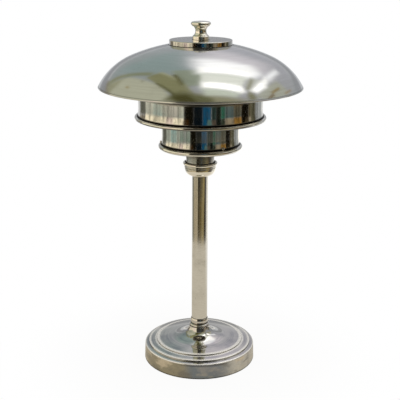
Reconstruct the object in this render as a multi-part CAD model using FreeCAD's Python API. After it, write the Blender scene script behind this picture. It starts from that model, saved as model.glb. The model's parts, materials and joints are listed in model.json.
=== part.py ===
import FreeCAD
import Part
import math
import os

# Table lamp: a domed shade over two stepped drums on a slim stem with a round weighted base.
# The lamp's axis is Z, it stands on Z = 0 and the cable inlet is at the back, +Y.
# All sizes are in millimetres, radii are measured from the axis of the piece they belong to.

# ---------------------------------------------------------------- base
FELT_THICKNESS = 2.0
FELT_INSET = 2.0            # felt edge inside the weight's edge

BASE_WALL = 3.0
BASE_RADIUS = 87.0          # at the foot of the side wall
BASE_DRAFT = 1.0            # how far the side wall leans in over its height
BASE_FOOT_GAP = 1.0         # table to the foot of the side wall
BASE_SIDE_HEIGHT = 23.4
BASE_EDGE_ROUNDING = 2.8
LEDGE_SLOPE = 0.14          # rise of the two ledges per mm towards the axis
STEP_ROUNDING = 1.1
MIDDLE_STEP_RADIUS = 79.3
MIDDLE_STEP_RISE = 2.7
INNER_STEP_RADIUS = 66.9
INNER_STEP_RISE = 1.9
INNER_STEP_WIDTH = 2.2      # level rim of the inner step
TRUMPET_START_SLOPE = 3.0   # degrees above level, where the trumpet leaves the inner step
TRUMPET_KNEE_RADIUS = 42.0
TRUMPET_KNEE_RISE = 2.2     # above the inner step
TRUMPET_RISE = 20.2         # above the inner step
TRUMPET_TOP_RADIUS = 15.5

WEIGHT_THICKNESS = 18.0
WEIGHT_CLEARANCE = 1.0      # weight to the inside of the side wall
NUT_RECESS_RADIUS = 16.0

BUSH_HEIGHT = 9.0           # axis of the cable bush above the table
BUSH_BORE_RADIUS = 3.3
BUSH_SHANK_RADIUS = 4.5
BUSH_SHANK_LENGTH = 5.5
BUSH_FLANGE_RADIUS = 6.0
BUSH_FLANGE_THICKNESS = 2.2

# ---------------------------------------------------------------- threaded pipe and its nuts
PIPE_RADIUS = 5.0
PIPE_BORE_RADIUS = 3.5
PIPE_TAIL = 1.5             # pipe end above the felt, and below its nut
PIPE_NUT_ACROSS_FLATS = 14.0
PIPE_NUT_HEIGHT = 4.5
PIPE_HEAD = 2.5             # pipe end above the lock nut in the lampholder
CLAMP_WASHER_RADIUS = 14.0
CLAMP_WASHER_THICKNESS = 1.5

# ---------------------------------------------------------------- stem
STEM_RADIUS = 12.2
STEM_WALL = 1.0
STEM_LENGTH = 243.0
COLLAR_RING_RADIUS = 15.85
COLLAR_RING_HEIGHT = 3.9
COLLAR_RING_BULGE = 1.6     # how far the ring's side stands out
COLLAR_WAIST_RADIUS = 13.2
COLLAR_WAIST_HEIGHT = 1.4
COLLAR_BEAD_RADIUS = 13.9
COLLAR_BEAD_HEIGHT = 7.9
COLLAR_BEAD_BULGE_HEIGHT = 3.2
COLLAR_LIP = 0.45           # collar edge outside the stem tube
COLLAR_SOCKET_DEPTH = 8.2   # stem tube inside the collar

# ---------------------------------------------------------------- neck
NECK_SOCKET_DEPTH = 3.6     # stem tube inside the neck cup
NECK_CUP_RADIUS = 23.6
NECK_CUP_ROUNDING = 9.6
NECK_CUP_HEIGHT = 12.0      # up to the groove
NECK_GROOVE_DEPTH = 0.9
NECK_GROOVE_WIDTH = 0.8
NECK_BAND_RADIUS = 24.2
NECK_BAND_HEIGHT = 3.2
NECK_BEAD_RADIUS = 27.4     # outermost
NECK_BEAD_SECTION = 2.65    # radius of the bead's round section
NECK_FLOOR_THICKNESS = 12.6

# ---------------------------------------------------------------- lampholder
HOLDER_SLEEVE_RADIUS = 21.4
HOLDER_SLEEVE_WALL = 1.0
HOLDER_SLEEVE_HEIGHT = 35.0
HOLDER_BASE_WALL = 1.3
HOLDER_BASE_FLOOR = 2.5
HOLDER_BASE_HEIGHT = 17.0
HOLDER_BODY_RADIUS = 19.8
HOLDER_BODY_HEIGHT = 40.0   # above the holder base
HOLDER_SPIGOT_DEPTH = 4.0
HOLDER_FLOOR_THICKNESS = 12.0
HOLDER_CONTACT_RADIUS = 5.0
HOLDER_CONTACT_THICKNESS = 1.5
HOLDER_LEDGE_HEIGHT = 5.0   # screw shell's ledge above the holder's floor
HOLDER_LEDGE_RADIUS = 11.5
SCREW_SHELL_WALL = 0.5
SCREW_SHELL_HEIGHT = 21.0
SHADE_RING_RADIUS = 24.0
SHADE_RING_HEIGHT = 5.5

# ---------------------------------------------------------------- shade frame
FIRST_ARM_ANGLE = -56.0     # degrees from +X
ARM_COUNT = 3
SPIDER_THICKNESS = 1.5
SPIDER_BEND_RADIUS = 1.0
SPIDER_ARM_WIDTH = 9.0
SPIDER_HUB_RADIUS = 26.0
LOWER_TAB_HOLE_HEIGHT = 4.0  # above the spider's underside
LOWER_TAB_HEIGHT = 8.0
UPPER_TAB_HOLE_HEIGHT = 6.0
UPPER_TAB_HEIGHT = 10.0
UPPER_SPIDER_RISE = 84.0    # lower to upper spider
UPPER_RING_INNER_RADIUS = 38.0
UPPER_RING_OUTER_RADIUS = 54.0
BRIDGE_RISE = 136.0         # lower spider to bridge
BRIDGE_THICKNESS = 2.0
BRIDGE_HUB_RADIUS = 16.0
BRIDGE_ARM_WIDTH = 12.0
ROD_CIRCLE = 46.0           # radius on which the support rods stand
ROD_RADIUS = 2.0
ROD_END = 1.8               # rod beyond its last nuts
ROD_NUT_ACROSS_FLATS = 7.0
ROD_NUT_HEIGHT = 3.2

# ---------------------------------------------------------------- drums
DRUM_SHEET = 1.0
LIP_ROUNDING = 1.6
LOWER_DRUM_RADIUS = 58.7
LOWER_DRUM_HEIGHT = 60.5
LOWER_LIP_REACH = 4.3
LOWER_LIP_HEIGHT = 5.8
LOWER_DRUM_HOLE_HEIGHT = 8.5
UPPER_DRUM_RADIUS = 92.7
UPPER_DRUM_HEIGHT = 56.2
UPPER_LIP_REACH = 5.2
UPPER_LIP_HEIGHT = 3.7
UPPER_DRUM_HOLE_HEIGHT = 50.2
DRUM_SCREW_RADIUS = 1.25
DRUM_SCREW_HEAD_RADIUS = 2.4
DRUM_SCREW_HEAD_HEIGHT = 1.7
DRUM_SCREW_HEAD_CHAMFER = 0.7
DRUM_SCREW_LENGTH = 4.6

# ---------------------------------------------------------------- stud and seat of the dome
STUD_RADIUS = 4.0
STUD_NUT_ACROSS_FLATS = 13.0
STUD_NUT_HEIGHT = 6.5
STUD_TAIL = 1.5
STUD_END_ROOM = 2.0         # left in the finial beyond the stud's end
SEAT_WASHER_RADIUS = 20.0
SEAT_WASHER_THICKNESS = 1.2

# ---------------------------------------------------------------- dome and cap
DOME_RADIUS = 150.0
DOME_DEPTH = 64.1           # crown to the start of the hem
DOME_CROWN_CURVE = 262.0
DOME_SHOULDER_CURVE = 95.5
DOME_SHEET = 1.2
DOME_HEM_HEIGHT = 1.4
DOME_HEM_THICKNESS = 2.0
DOME_HEM_ROUNDING = 0.8
DOME_SEAT_DROP = 4.8        # flat seat below the crown of the undented dome
DOME_SEAT_STEP = 1.1        # width of the step around the seat
DOME_HOLE_RADIUS = 8.0
CAP_RADIUS = 45.85
CAP_THICKNESS = 5.9
CAP_EDGE_ROUNDING = 1.5
CAP_SPIGOT_DEPTH = 1.0

# ---------------------------------------------------------------- finial
FINIAL_FOOT_RADIUS = 12.45
FINIAL_FOOT_HEIGHT = 7.5
FINIAL_FOOT_ROUNDING = 1.1
FINIAL_FLARE_RADIUS = 11.3
FINIAL_WAIST_RADIUS = 8.1
FINIAL_WAIST_HEIGHT = 12.8  # waist to waist, between the foot and the head
FINIAL_FLARE_HEIGHT = 1.4
FINIAL_HEAD_RADIUS = 14.3
FINIAL_HEAD_HEIGHT = 6.6
FINIAL_HEAD_ROUNDING = 2.6
FINIAL_INSERT_RADIUS = 6.0
FINIAL_INSERT_HEIGHT = 6.5
FINIAL_PITCH = 1.25         # M8 thread
FINIAL_TURNS = 7            # turns until the finial is free

# ---------------------------------------------------------------- bulb
BULB_LENGTH = 105.0
BULB_RADIUS = 16.0
BULB_END_ROUNDING = 9.0
BULB_GLASS_WALL = 0.8
BULB_CAP_RADIUS = 13.0
BULB_CAP_WALL = 0.5
BULB_CAP_HEIGHT = 22.0
BULB_CAP_CHAMFER = 1.5
BULB_NECK_RISE = 3.0        # from the cap's edge out to the tube
BULB_CONTACT_RADIUS = 4.6
BULB_CONTACT_HEIGHT = 1.5
BULB_INSULATOR_HEIGHT = 4.5
BULB_INSULATOR_RADIUS = 11.5

# ---------------------------------------------------------------- clearances
THREAD_CLEARANCE = 0.05     # radial, screw in its nut or tapped hole
FIT_CLEARANCE = 0.2         # radial, pieces that are slipped together
HOLE_CLEARANCE = 0.3        # radial, screw or stud through a plain hole
BULB_CLEARANCE = 0.35       # radial, bulb cap in its screw shell
INSERT_CLEARANCE = 0.06     # radial, finial on its insert

# ---------------------------------------------------------------- how finely small curves are drawn
ROUNDING_CHORDS = 2         # chords across a rounded corner
SMALL_ARC_CHORDS = 3        # chords along an arc of a small turned piece
KNEE_CHORDS = 1             # along the trumpet's first, almost level arc
TRUMPET_CHORDS = 6
CROWN_CHORDS = 3
SHOULDER_CHORDS = 7
FINIAL_WAIST_CHORDS = 5

# ---------------------------------------------------------------- levels, from the table up
WEIGHT_BOTTOM = FELT_THICKNESS
WEIGHT_TOP = WEIGHT_BOTTOM + WEIGHT_THICKNESS
PIPE_BOTTOM = WEIGHT_BOTTOM + PIPE_TAIL
CLAMP_NUT_BOTTOM = PIPE_BOTTOM + PIPE_TAIL
CLAMP_WASHER_BOTTOM = CLAMP_NUT_BOTTOM + PIPE_NUT_HEIGHT
NUT_RECESS_TOP = CLAMP_WASHER_BOTTOM + CLAMP_WASHER_THICKNESS
BASE_EDGE_TOP = BASE_FOOT_GAP + BASE_SIDE_HEIGHT
OUTER_LEDGE_TOP = BASE_EDGE_TOP + LEDGE_SLOPE * (BASE_RADIUS - BASE_DRAFT - MIDDLE_STEP_RADIUS)
MIDDLE_STEP_TOP = OUTER_LEDGE_TOP + MIDDLE_STEP_RISE
INNER_LEDGE_TOP = MIDDLE_STEP_TOP + LEDGE_SLOPE * (MIDDLE_STEP_RADIUS - INNER_STEP_RADIUS)
INNER_STEP_TOP = INNER_LEDGE_TOP + INNER_STEP_RISE
BASE_TOP = INNER_STEP_TOP + TRUMPET_RISE
COLLAR_BEAD_BOTTOM = BASE_TOP + COLLAR_RING_HEIGHT + COLLAR_WAIST_HEIGHT
COLLAR_TOP = COLLAR_BEAD_BOTTOM + COLLAR_BEAD_HEIGHT
STEM_BOTTOM = COLLAR_TOP - COLLAR_SOCKET_DEPTH
STEM_TOP = STEM_BOTTOM + STEM_LENGTH
NECK_BOTTOM = STEM_TOP - NECK_SOCKET_DEPTH
NECK_FLOOR = NECK_BOTTOM + NECK_FLOOR_THICKNESS
NECK_GROOVE_TOP = NECK_BOTTOM + NECK_CUP_HEIGHT + NECK_GROOVE_WIDTH
NECK_BEAD_MIDDLE = NECK_GROOVE_TOP + NECK_BAND_HEIGHT + NECK_BEAD_SECTION
LOCK_NUT_BOTTOM = NECK_FLOOR + HOLDER_BASE_FLOOR
PIPE_TOP = LOCK_NUT_BOTTOM + PIPE_NUT_HEIGHT + PIPE_HEAD
HOLDER_BODY_BOTTOM = NECK_FLOOR + HOLDER_BASE_HEIGHT
HOLDER_CONTACT_BOTTOM = HOLDER_BODY_BOTTOM + HOLDER_FLOOR_THICKNESS
BULB_BOTTOM = HOLDER_CONTACT_BOTTOM + HOLDER_CONTACT_THICKNESS
SCREW_SHELL_BOTTOM = HOLDER_CONTACT_BOTTOM + HOLDER_LEDGE_HEIGHT
BULB_INSULATOR_BOTTOM = BULB_BOTTOM + BULB_CONTACT_HEIGHT
BULB_CAP_BOTTOM = BULB_INSULATOR_BOTTOM + BULB_INSULATOR_HEIGHT
BULB_CAP_TOP = BULB_CAP_BOTTOM + BULB_CAP_HEIGHT
HOLDER_TOP = HOLDER_BODY_BOTTOM + HOLDER_BODY_HEIGHT
LOWER_SPIDER_LEVEL = NECK_FLOOR + HOLDER_SLEEVE_HEIGHT
UPPER_SPIDER_LEVEL = LOWER_SPIDER_LEVEL + UPPER_SPIDER_RISE
BRIDGE_LEVEL = LOWER_SPIDER_LEVEL + BRIDGE_RISE
LOWER_SCREW_LEVEL = LOWER_SPIDER_LEVEL + LOWER_TAB_HOLE_HEIGHT
UPPER_SCREW_LEVEL = UPPER_SPIDER_LEVEL + UPPER_TAB_HOLE_HEIGHT
STUD_UPPER_NUT_BOTTOM = BRIDGE_LEVEL + BRIDGE_THICKNESS
SEAT_WASHER_BOTTOM = STUD_UPPER_NUT_BOTTOM + STUD_NUT_HEIGHT
DOME_SEAT_BOTTOM = SEAT_WASHER_BOTTOM + SEAT_WASHER_THICKNESS
CAP_BOTTOM = DOME_SEAT_BOTTOM + DOME_SHEET
DOME_CROWN = CAP_BOTTOM + DOME_SEAT_DROP
DOME_HEM_TOP = DOME_CROWN - DOME_DEPTH
FINIAL_BOTTOM = CAP_BOTTOM + CAP_THICKNESS
STUD_TOP = FINIAL_BOTTOM + FINIAL_PITCH * FINIAL_TURNS

ARM_ANGLES = [FIRST_ARM_ANGLE + index * 360.0 / ARM_COUNT for index in range(ARM_COUNT)]
BEYOND = 10.0               # how far a cutting tool runs past what it cuts
SMALLEST_EDGE = 1e-6

AXIS = FreeCAD.Vector(0, 0, 1)
CENTRE = FreeCAD.Vector(0, 0, 0)


class Outline:
    """A closed outline in the plane of radius and height, drawn corner by corner."""

    def __init__(self, radius, height):
        self.corners = []
        self.to(radius, height)

    def to(self, radius, height, rounding=0.0):
        """A straight run to a corner, which may be rounded."""
        self.corners.append((FreeCAD.Vector(radius, 0, height), rounding, None))
        return self

    def arc(self, through, end, chords=0):
        """An arc from the last corner through one (radius, height) point to another, or its chords."""
        middle = FreeCAD.Vector(through[0], 0, through[1])
        finish = FreeCAD.Vector(end[0], 0, end[1])
        if chords:
            curve = Part.Arc(self.corners[-1][0], middle, finish)
            for point in curve.discretize(chords + 1)[1:]:
                self.to(point.x, point.z)
        else:
            self.corners.append((finish, 0.0, middle))
        return self

    def tangent_arc(self, slope, end, chords=0):
        """An arc that leaves the last corner at a slope in degrees. Returns the slope at its end."""
        start = self.corners[-1][0]
        chord = FreeCAD.Vector(end[0], 0, end[1]) - start
        chord_slope = math.degrees(math.atan2(chord.z, chord.x))
        sagitta = chord.Length / 2 * math.tan(math.radians(chord_slope - slope) / 2)
        side = FreeCAD.Vector(chord.z, 0, -chord.x).normalize()
        through = start + chord * 0.5 + side * sagitta
        self.arc((through.x, through.z), end, chords)
        return 2 * chord_slope - slope

    def rounded_corner(self, index):
        """The points that stand for a corner: the corner itself, or those across its rounding."""
        here, rounding, _ = self.corners[index]
        if not rounding:
            return [here]
        arriving = (here - self.corners[index - 1][0]).normalize()
        leaving = (self.corners[(index + 1) % len(self.corners)][0] - here).normalize()
        half_turn = arriving.getAngle(leaving) / 2
        trim = rounding * math.tan(half_turn)
        sunk = rounding / math.cos(half_turn) - rounding
        middle = here + (leaving - arriving).normalize() * sunk
        rounded = Part.Arc(here - arriving * trim, middle, here + leaving * trim)
        return rounded.discretize(ROUNDING_CHORDS + 1)

    def face(self):
        """The flat face inside the outline."""
        places = [self.rounded_corner(index) for index in range(len(self.corners))]
        edges = []
        for index, (_, _, via) in enumerate(self.corners):
            start, end = places[index - 1][-1], places[index][0]
            if via is not None:
                edges.append(Part.Arc(start, via, end).toShape())
            elif (end - start).Length > SMALLEST_EDGE:
                edges.append(Part.LineSegment(start, end).toShape())
            for near, far in zip(places[index], places[index][1:]):
                edges.append(Part.LineSegment(near, far).toShape())
        return Part.Face(Part.Wire(edges))

    def revolved(self):
        """The solid of revolution about the axis."""
        return self.face().revolve(CENTRE, AXIS, 360)

    def extruded(self, width):
        """The outline as a plate of this width, centred on the XZ plane."""
        plate = self.face().extrude(FreeCAD.Vector(0, width, 0))
        return plate.translated(FreeCAD.Vector(0, -width / 2, 0))


def cylinder(radius, bottom, top):
    """An upright cylinder on the axis."""
    return Part.makeCylinder(radius, top - bottom, FreeCAD.Vector(0, 0, bottom))


def ring(outer, inner, bottom, top):
    """An upright tube, washer or ring on the axis."""
    return cylinder(outer, bottom, top).cut(cylinder(inner, bottom - BEYOND, top + BEYOND))


def turned(shape, angle):
    """The shape turned about the axis by an angle in degrees."""
    copy = shape.copy()
    copy.rotate(CENTRE, AXIS, angle)
    return copy


def around(shape, angles):
    """Copies of the shape at these angles, as separate solids."""
    return Part.makeCompound([turned(shape, angle) for angle in angles])


def radial(shape, distance, level):
    """A shape made on the Z axis, laid along +X with its origin at this distance and level."""
    copy = shape.copy()
    copy.rotate(CENTRE, FreeCAD.Vector(0, 1, 0), 90)
    return copy.translated(FreeCAD.Vector(distance, 0, level))


def radial_holes(radius, distance, level, angles):
    """Cutting tools for round holes that point at the axis."""
    tool = Part.makeCylinder(radius, 2 * BEYOND, FreeCAD.Vector(0, 0, -BEYOND))
    return around(radial(tool, distance, level), angles)


def hex_nut(across_flats, height, bore_radius, bottom):
    """A plain hexagonal nut on the axis."""
    corner = across_flats / 2 / math.cos(math.pi / 6)
    turns = [index * math.pi / 3 for index in range(6)]
    points = [FreeCAD.Vector(corner * math.cos(turn), corner * math.sin(turn), bottom) for turn in turns]
    prism = Part.Face(Part.makePolygon(points + points[:1])).extrude(AXIS * height)
    return prism.cut(cylinder(bore_radius, bottom - BEYOND, bottom + height + BEYOND))


# ---------------------------------------------------------------- base


def base_hollow_radius():
    """Radius of the cylindrical hollow under the base, in which the weight sits."""
    return BASE_RADIUS - BASE_DRAFT - BASE_WALL


def weight_radius():
    """Outer radius of the weight."""
    return base_hollow_radius() - WEIGHT_CLEARANCE


def bush_hole(radius):
    """Cutting tool for a hole through the back of the base, on the cable bush's axis."""
    start = FreeCAD.Vector(0, BASE_RADIUS - BASE_WALL - BUSH_SHANK_LENGTH - BEYOND, BUSH_HEIGHT)
    depth = BASE_WALL + BUSH_SHANK_LENGTH + 2 * BEYOND
    return Part.makeCylinder(radius, depth, start, FreeCAD.Vector(0, 1, 0))


def base_shell():
    """Cast cover with two raised steps and a trumpet up to the stem, hollow underneath for the weight."""
    outline = Outline(PIPE_RADIUS + HOLE_CLEARANCE, WEIGHT_TOP).to(base_hollow_radius(), WEIGHT_TOP)
    outline.to(base_hollow_radius(), BASE_FOOT_GAP).to(BASE_RADIUS, BASE_FOOT_GAP)
    outline.to(BASE_RADIUS - BASE_DRAFT, BASE_EDGE_TOP, BASE_EDGE_ROUNDING)
    outline.to(MIDDLE_STEP_RADIUS, OUTER_LEDGE_TOP).to(MIDDLE_STEP_RADIUS, MIDDLE_STEP_TOP, STEP_ROUNDING)
    outline.to(INNER_STEP_RADIUS, INNER_LEDGE_TOP).to(INNER_STEP_RADIUS, INNER_STEP_TOP, STEP_ROUNDING)
    outline.to(INNER_STEP_RADIUS - INNER_STEP_WIDTH, INNER_STEP_TOP)
    knee = (TRUMPET_KNEE_RADIUS, INNER_STEP_TOP + TRUMPET_KNEE_RISE)
    slope = outline.tangent_arc(180 - TRUMPET_START_SLOPE, knee, KNEE_CHORDS)
    outline.tangent_arc(slope, (TRUMPET_TOP_RADIUS, BASE_TOP), TRUMPET_CHORDS)
    shell = outline.to(PIPE_RADIUS + HOLE_CLEARANCE, BASE_TOP).revolved()
    return shell.cut(bush_hole(BUSH_SHANK_RADIUS + THREAD_CLEARANCE))


def base_weight():
    """Steel disc in the base, with a recess for the pipe's nut and a channel for the cable."""
    bore = PIPE_RADIUS + HOLE_CLEARANCE
    outline = Outline(bore, NUT_RECESS_TOP).to(NUT_RECESS_RADIUS, NUT_RECESS_TOP)
    outline.to(NUT_RECESS_RADIUS, WEIGHT_BOTTOM).to(weight_radius(), WEIGHT_BOTTOM)
    outline.to(weight_radius(), WEIGHT_TOP).to(bore, WEIGHT_TOP)
    width = 2 * (BUSH_SHANK_RADIUS + FIT_CLEARANCE)
    channel_top = BUSH_HEIGHT + BUSH_SHANK_RADIUS + FIT_CLEARANCE
    channel = Part.makeBox(width, BASE_RADIUS, channel_top, FreeCAD.Vector(-width / 2, 0, 0))
    return outline.revolved().cut(channel)


def felt_pad():
    """Felt disc under the weight, that the lamp stands on."""
    return cylinder(weight_radius() - FELT_INSET, 0, FELT_THICKNESS)


def cable_bush():
    """Moulded bush in the back of the base, with an open bore for the cable."""
    outline = Outline(BUSH_BORE_RADIUS, -BUSH_SHANK_LENGTH).to(BUSH_SHANK_RADIUS, -BUSH_SHANK_LENGTH)
    outline.to(BUSH_SHANK_RADIUS, 0).to(BUSH_FLANGE_RADIUS, 0).to(BUSH_FLANGE_RADIUS, BUSH_FLANGE_THICKNESS)
    bush = outline.to(BUSH_BORE_RADIUS, BUSH_FLANGE_THICKNESS).revolved()
    return turned(radial(bush, BASE_RADIUS, BUSH_HEIGHT), 90)


# ---------------------------------------------------------------- pipe, stem and neck


def lamp_pipe():
    """Threaded pipe that clamps the base, stem and neck together and carries the wires."""
    return ring(PIPE_RADIUS, PIPE_BORE_RADIUS, PIPE_BOTTOM, PIPE_TOP)


def pipe_nut(bottom):
    """Hexagonal nut on the threaded pipe."""
    return hex_nut(PIPE_NUT_ACROSS_FLATS, PIPE_NUT_HEIGHT, PIPE_RADIUS + THREAD_CLEARANCE, bottom)


def clamp_washer():
    """Washer between the clamp nut and the weight."""
    return ring(CLAMP_WASHER_RADIUS, PIPE_RADIUS + HOLE_CLEARANCE, CLAMP_WASHER_BOTTOM, NUT_RECESS_TOP)


def stem_collar():
    """Turned collar of a ring and a longer bead, in which the stem tube stands."""
    bore = PIPE_RADIUS + HOLE_CLEARANCE
    socket = STEM_RADIUS + FIT_CLEARANCE
    ring_top = BASE_TOP + COLLAR_RING_HEIGHT
    outline = Outline(bore, BASE_TOP).to(COLLAR_RING_RADIUS - COLLAR_RING_BULGE, BASE_TOP)
    ring_end = (COLLAR_RING_RADIUS - COLLAR_RING_BULGE, ring_top)
    outline.arc((COLLAR_RING_RADIUS, (BASE_TOP + ring_top) / 2), ring_end, SMALL_ARC_CHORDS)
    outline.to(COLLAR_WAIST_RADIUS, ring_top).to(COLLAR_WAIST_RADIUS, COLLAR_BEAD_BOTTOM)
    bulge = COLLAR_BEAD_BOTTOM + COLLAR_BEAD_BULGE_HEIGHT
    outline.arc((COLLAR_BEAD_RADIUS, bulge), (socket + COLLAR_LIP, COLLAR_TOP), SMALL_ARC_CHORDS)
    return outline.to(socket, COLLAR_TOP).to(socket, STEM_BOTTOM).to(bore, STEM_BOTTOM).revolved()


def stem_tube():
    """Plain tube around the threaded pipe."""
    return ring(STEM_RADIUS, STEM_RADIUS - STEM_WALL, STEM_BOTTOM, STEM_TOP)


def neck_cup():
    """Turned cup with a groove and a heavy bead, in which the lampholder stands."""
    bore = PIPE_RADIUS + HOLE_CLEARANCE
    socket = STEM_RADIUS + FIT_CLEARANCE
    bead_centre = NECK_BEAD_RADIUS - NECK_BEAD_SECTION
    wall = bead_centre - NECK_BEAD_SECTION
    groove_bottom = NECK_BOTTOM + NECK_CUP_HEIGHT
    groove = NECK_CUP_RADIUS - NECK_GROOVE_DEPTH
    bead_bottom = NECK_BEAD_MIDDLE - NECK_BEAD_SECTION
    outline = Outline(socket, NECK_BOTTOM).to(NECK_CUP_RADIUS, NECK_BOTTOM, NECK_CUP_ROUNDING)
    outline.to(NECK_CUP_RADIUS, groove_bottom).to(groove, (groove_bottom + NECK_GROOVE_TOP) / 2)
    outline.to(NECK_BAND_RADIUS, NECK_GROOVE_TOP).to(NECK_BAND_RADIUS, bead_bottom)
    outline.to(bead_centre, bead_bottom)
    low = NECK_BEAD_SECTION * math.cos(math.pi / 4)
    below = (bead_centre + low, NECK_BEAD_MIDDLE - low)
    outline.arc(below, (NECK_BEAD_RADIUS, NECK_BEAD_MIDDLE), ROUNDING_CHORDS)
    bead_top = (bead_centre, NECK_BEAD_MIDDLE + NECK_BEAD_SECTION)
    outline.arc(bead_top, (wall, NECK_BEAD_MIDDLE), SMALL_ARC_CHORDS)
    outline.to(wall, NECK_FLOOR).to(bore, NECK_FLOOR).to(bore, STEM_TOP)
    return outline.to(socket, STEM_TOP).revolved()


# ---------------------------------------------------------------- lampholder


def holder_base():
    """Metal cup at the foot of the lampholder, clamped to the neck by the lock nut."""
    outer = HOLDER_SLEEVE_RADIUS - HOLDER_SLEEVE_WALL - FIT_CLEARANCE
    cup = cylinder(outer, NECK_FLOOR, HOLDER_BODY_BOTTOM)
    inside = cylinder(outer - HOLDER_BASE_WALL, LOCK_NUT_BOTTOM, HOLDER_BODY_BOTTOM + BEYOND)
    return cup.cut([inside, cylinder(PIPE_RADIUS + THREAD_CLEARANCE, 0, LOCK_NUT_BOTTOM + BEYOND)])


def holder_sleeve():
    """Bright sleeve around the lampholder, on which the lower spider rests."""
    inner = HOLDER_SLEEVE_RADIUS - HOLDER_SLEEVE_WALL
    return ring(HOLDER_SLEEVE_RADIUS, inner, NECK_FLOOR, LOWER_SPIDER_LEVEL)


def screw_shell_radius():
    """Outer radius of the lampholder's screw shell."""
    return BULB_CAP_RADIUS + BULB_CLEARANCE + SCREW_SHELL_WALL


def holder_body():
    """Moulded body of the lampholder, with a ledge for the screw shell and a spigot in the holder base."""
    base_inside = HOLDER_SLEEVE_RADIUS - HOLDER_SLEEVE_WALL - FIT_CLEARANCE - HOLDER_BASE_WALL
    spigot = base_inside - FIT_CLEARANCE
    cavity = screw_shell_radius() + THREAD_CLEARANCE
    spigot_bottom = HOLDER_BODY_BOTTOM - HOLDER_SPIGOT_DEPTH
    outline = Outline(0, spigot_bottom).to(spigot, spigot_bottom)
    outline.to(spigot, HOLDER_BODY_BOTTOM).to(HOLDER_BODY_RADIUS, HOLDER_BODY_BOTTOM)
    outline.to(HOLDER_BODY_RADIUS, HOLDER_TOP).to(cavity, HOLDER_TOP)
    outline.to(cavity, SCREW_SHELL_BOTTOM).to(HOLDER_LEDGE_RADIUS, SCREW_SHELL_BOTTOM)
    return outline.to(HOLDER_LEDGE_RADIUS, HOLDER_CONTACT_BOTTOM).to(0, HOLDER_CONTACT_BOTTOM).revolved()


def holder_screw_shell():
    """Brass screw shell that takes the bulb's cap."""
    outer = screw_shell_radius()
    return ring(outer, outer - SCREW_SHELL_WALL, SCREW_SHELL_BOTTOM, SCREW_SHELL_BOTTOM + SCREW_SHELL_HEIGHT)


def holder_contact():
    """Centre contact at the bottom of the lampholder."""
    return cylinder(HOLDER_CONTACT_RADIUS, HOLDER_CONTACT_BOTTOM, BULB_BOTTOM)


def shade_ring():
    """Threaded ring on the lampholder that clamps the lower spider."""
    bottom = LOWER_SPIDER_LEVEL + SPIDER_THICKNESS
    return ring(SHADE_RING_RADIUS, HOLDER_BODY_RADIUS + THREAD_CLEARANCE, bottom, bottom + SHADE_RING_HEIGHT)


# ---------------------------------------------------------------- shade frame


def bent_arms(inner, drum_inside, level, tab_height):
    """Flat arms from a hub, each bent up at its end into a tab that lies against the drum's wall."""
    half_width = SPIDER_ARM_WIDTH / 2
    reach = math.sqrt((drum_inside - THREAD_CLEARANCE) ** 2 - half_width**2)
    inside = reach - SPIDER_THICKNESS
    outline = Outline(inner, level).to(reach, level, SPIDER_BEND_RADIUS + SPIDER_THICKNESS)
    outline.to(reach, level + tab_height).to(inside, level + tab_height)
    outline.to(inside, level + SPIDER_THICKNESS, SPIDER_BEND_RADIUS).to(inner, level + SPIDER_THICKNESS)
    return around(outline.extruded(SPIDER_ARM_WIDTH), ARM_ANGLES).Solids


def rod_holes(level):
    """Cutting tools for the support rods' holes."""
    hole = cylinder(ROD_RADIUS + FIT_CLEARANCE, level - BEYOND, level + BEYOND)
    return around(hole.translated(FreeCAD.Vector(ROD_CIRCLE, 0, 0)), ARM_ANGLES)


def lower_spider():
    """Three-armed sheet-metal carrier of the lower drum, clamped on the lampholder."""
    inside = LOWER_DRUM_RADIUS - DRUM_SHEET
    top = LOWER_SPIDER_LEVEL + SPIDER_THICKNESS
    hub = ring(SPIDER_HUB_RADIUS, HOLDER_BODY_RADIUS + HOLE_CLEARANCE, LOWER_SPIDER_LEVEL, top)
    root = (SPIDER_HUB_RADIUS + HOLDER_BODY_RADIUS) / 2
    arms = bent_arms(root, inside, LOWER_SPIDER_LEVEL, LOWER_TAB_HEIGHT)
    screws = radial_holes(DRUM_SCREW_RADIUS + THREAD_CLEARANCE, inside, LOWER_SCREW_LEVEL, ARM_ANGLES)
    return hub.fuse(arms).removeSplitter().cut([rod_holes(LOWER_SPIDER_LEVEL), screws])


def upper_spider():
    """Ring on the support rods with three arms that carry the upper drum."""
    inside = UPPER_DRUM_RADIUS - DRUM_SHEET
    top = UPPER_SPIDER_LEVEL + SPIDER_THICKNESS
    hub = ring(UPPER_RING_OUTER_RADIUS, UPPER_RING_INNER_RADIUS, UPPER_SPIDER_LEVEL, top)
    root = (UPPER_RING_OUTER_RADIUS + ROD_CIRCLE) / 2
    arms = bent_arms(root, inside, UPPER_SPIDER_LEVEL, UPPER_TAB_HEIGHT)
    screws = radial_holes(DRUM_SCREW_RADIUS + THREAD_CLEARANCE, inside, UPPER_SCREW_LEVEL, ARM_ANGLES)
    return hub.fuse(arms).removeSplitter().cut([rod_holes(UPPER_SPIDER_LEVEL), screws])


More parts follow.
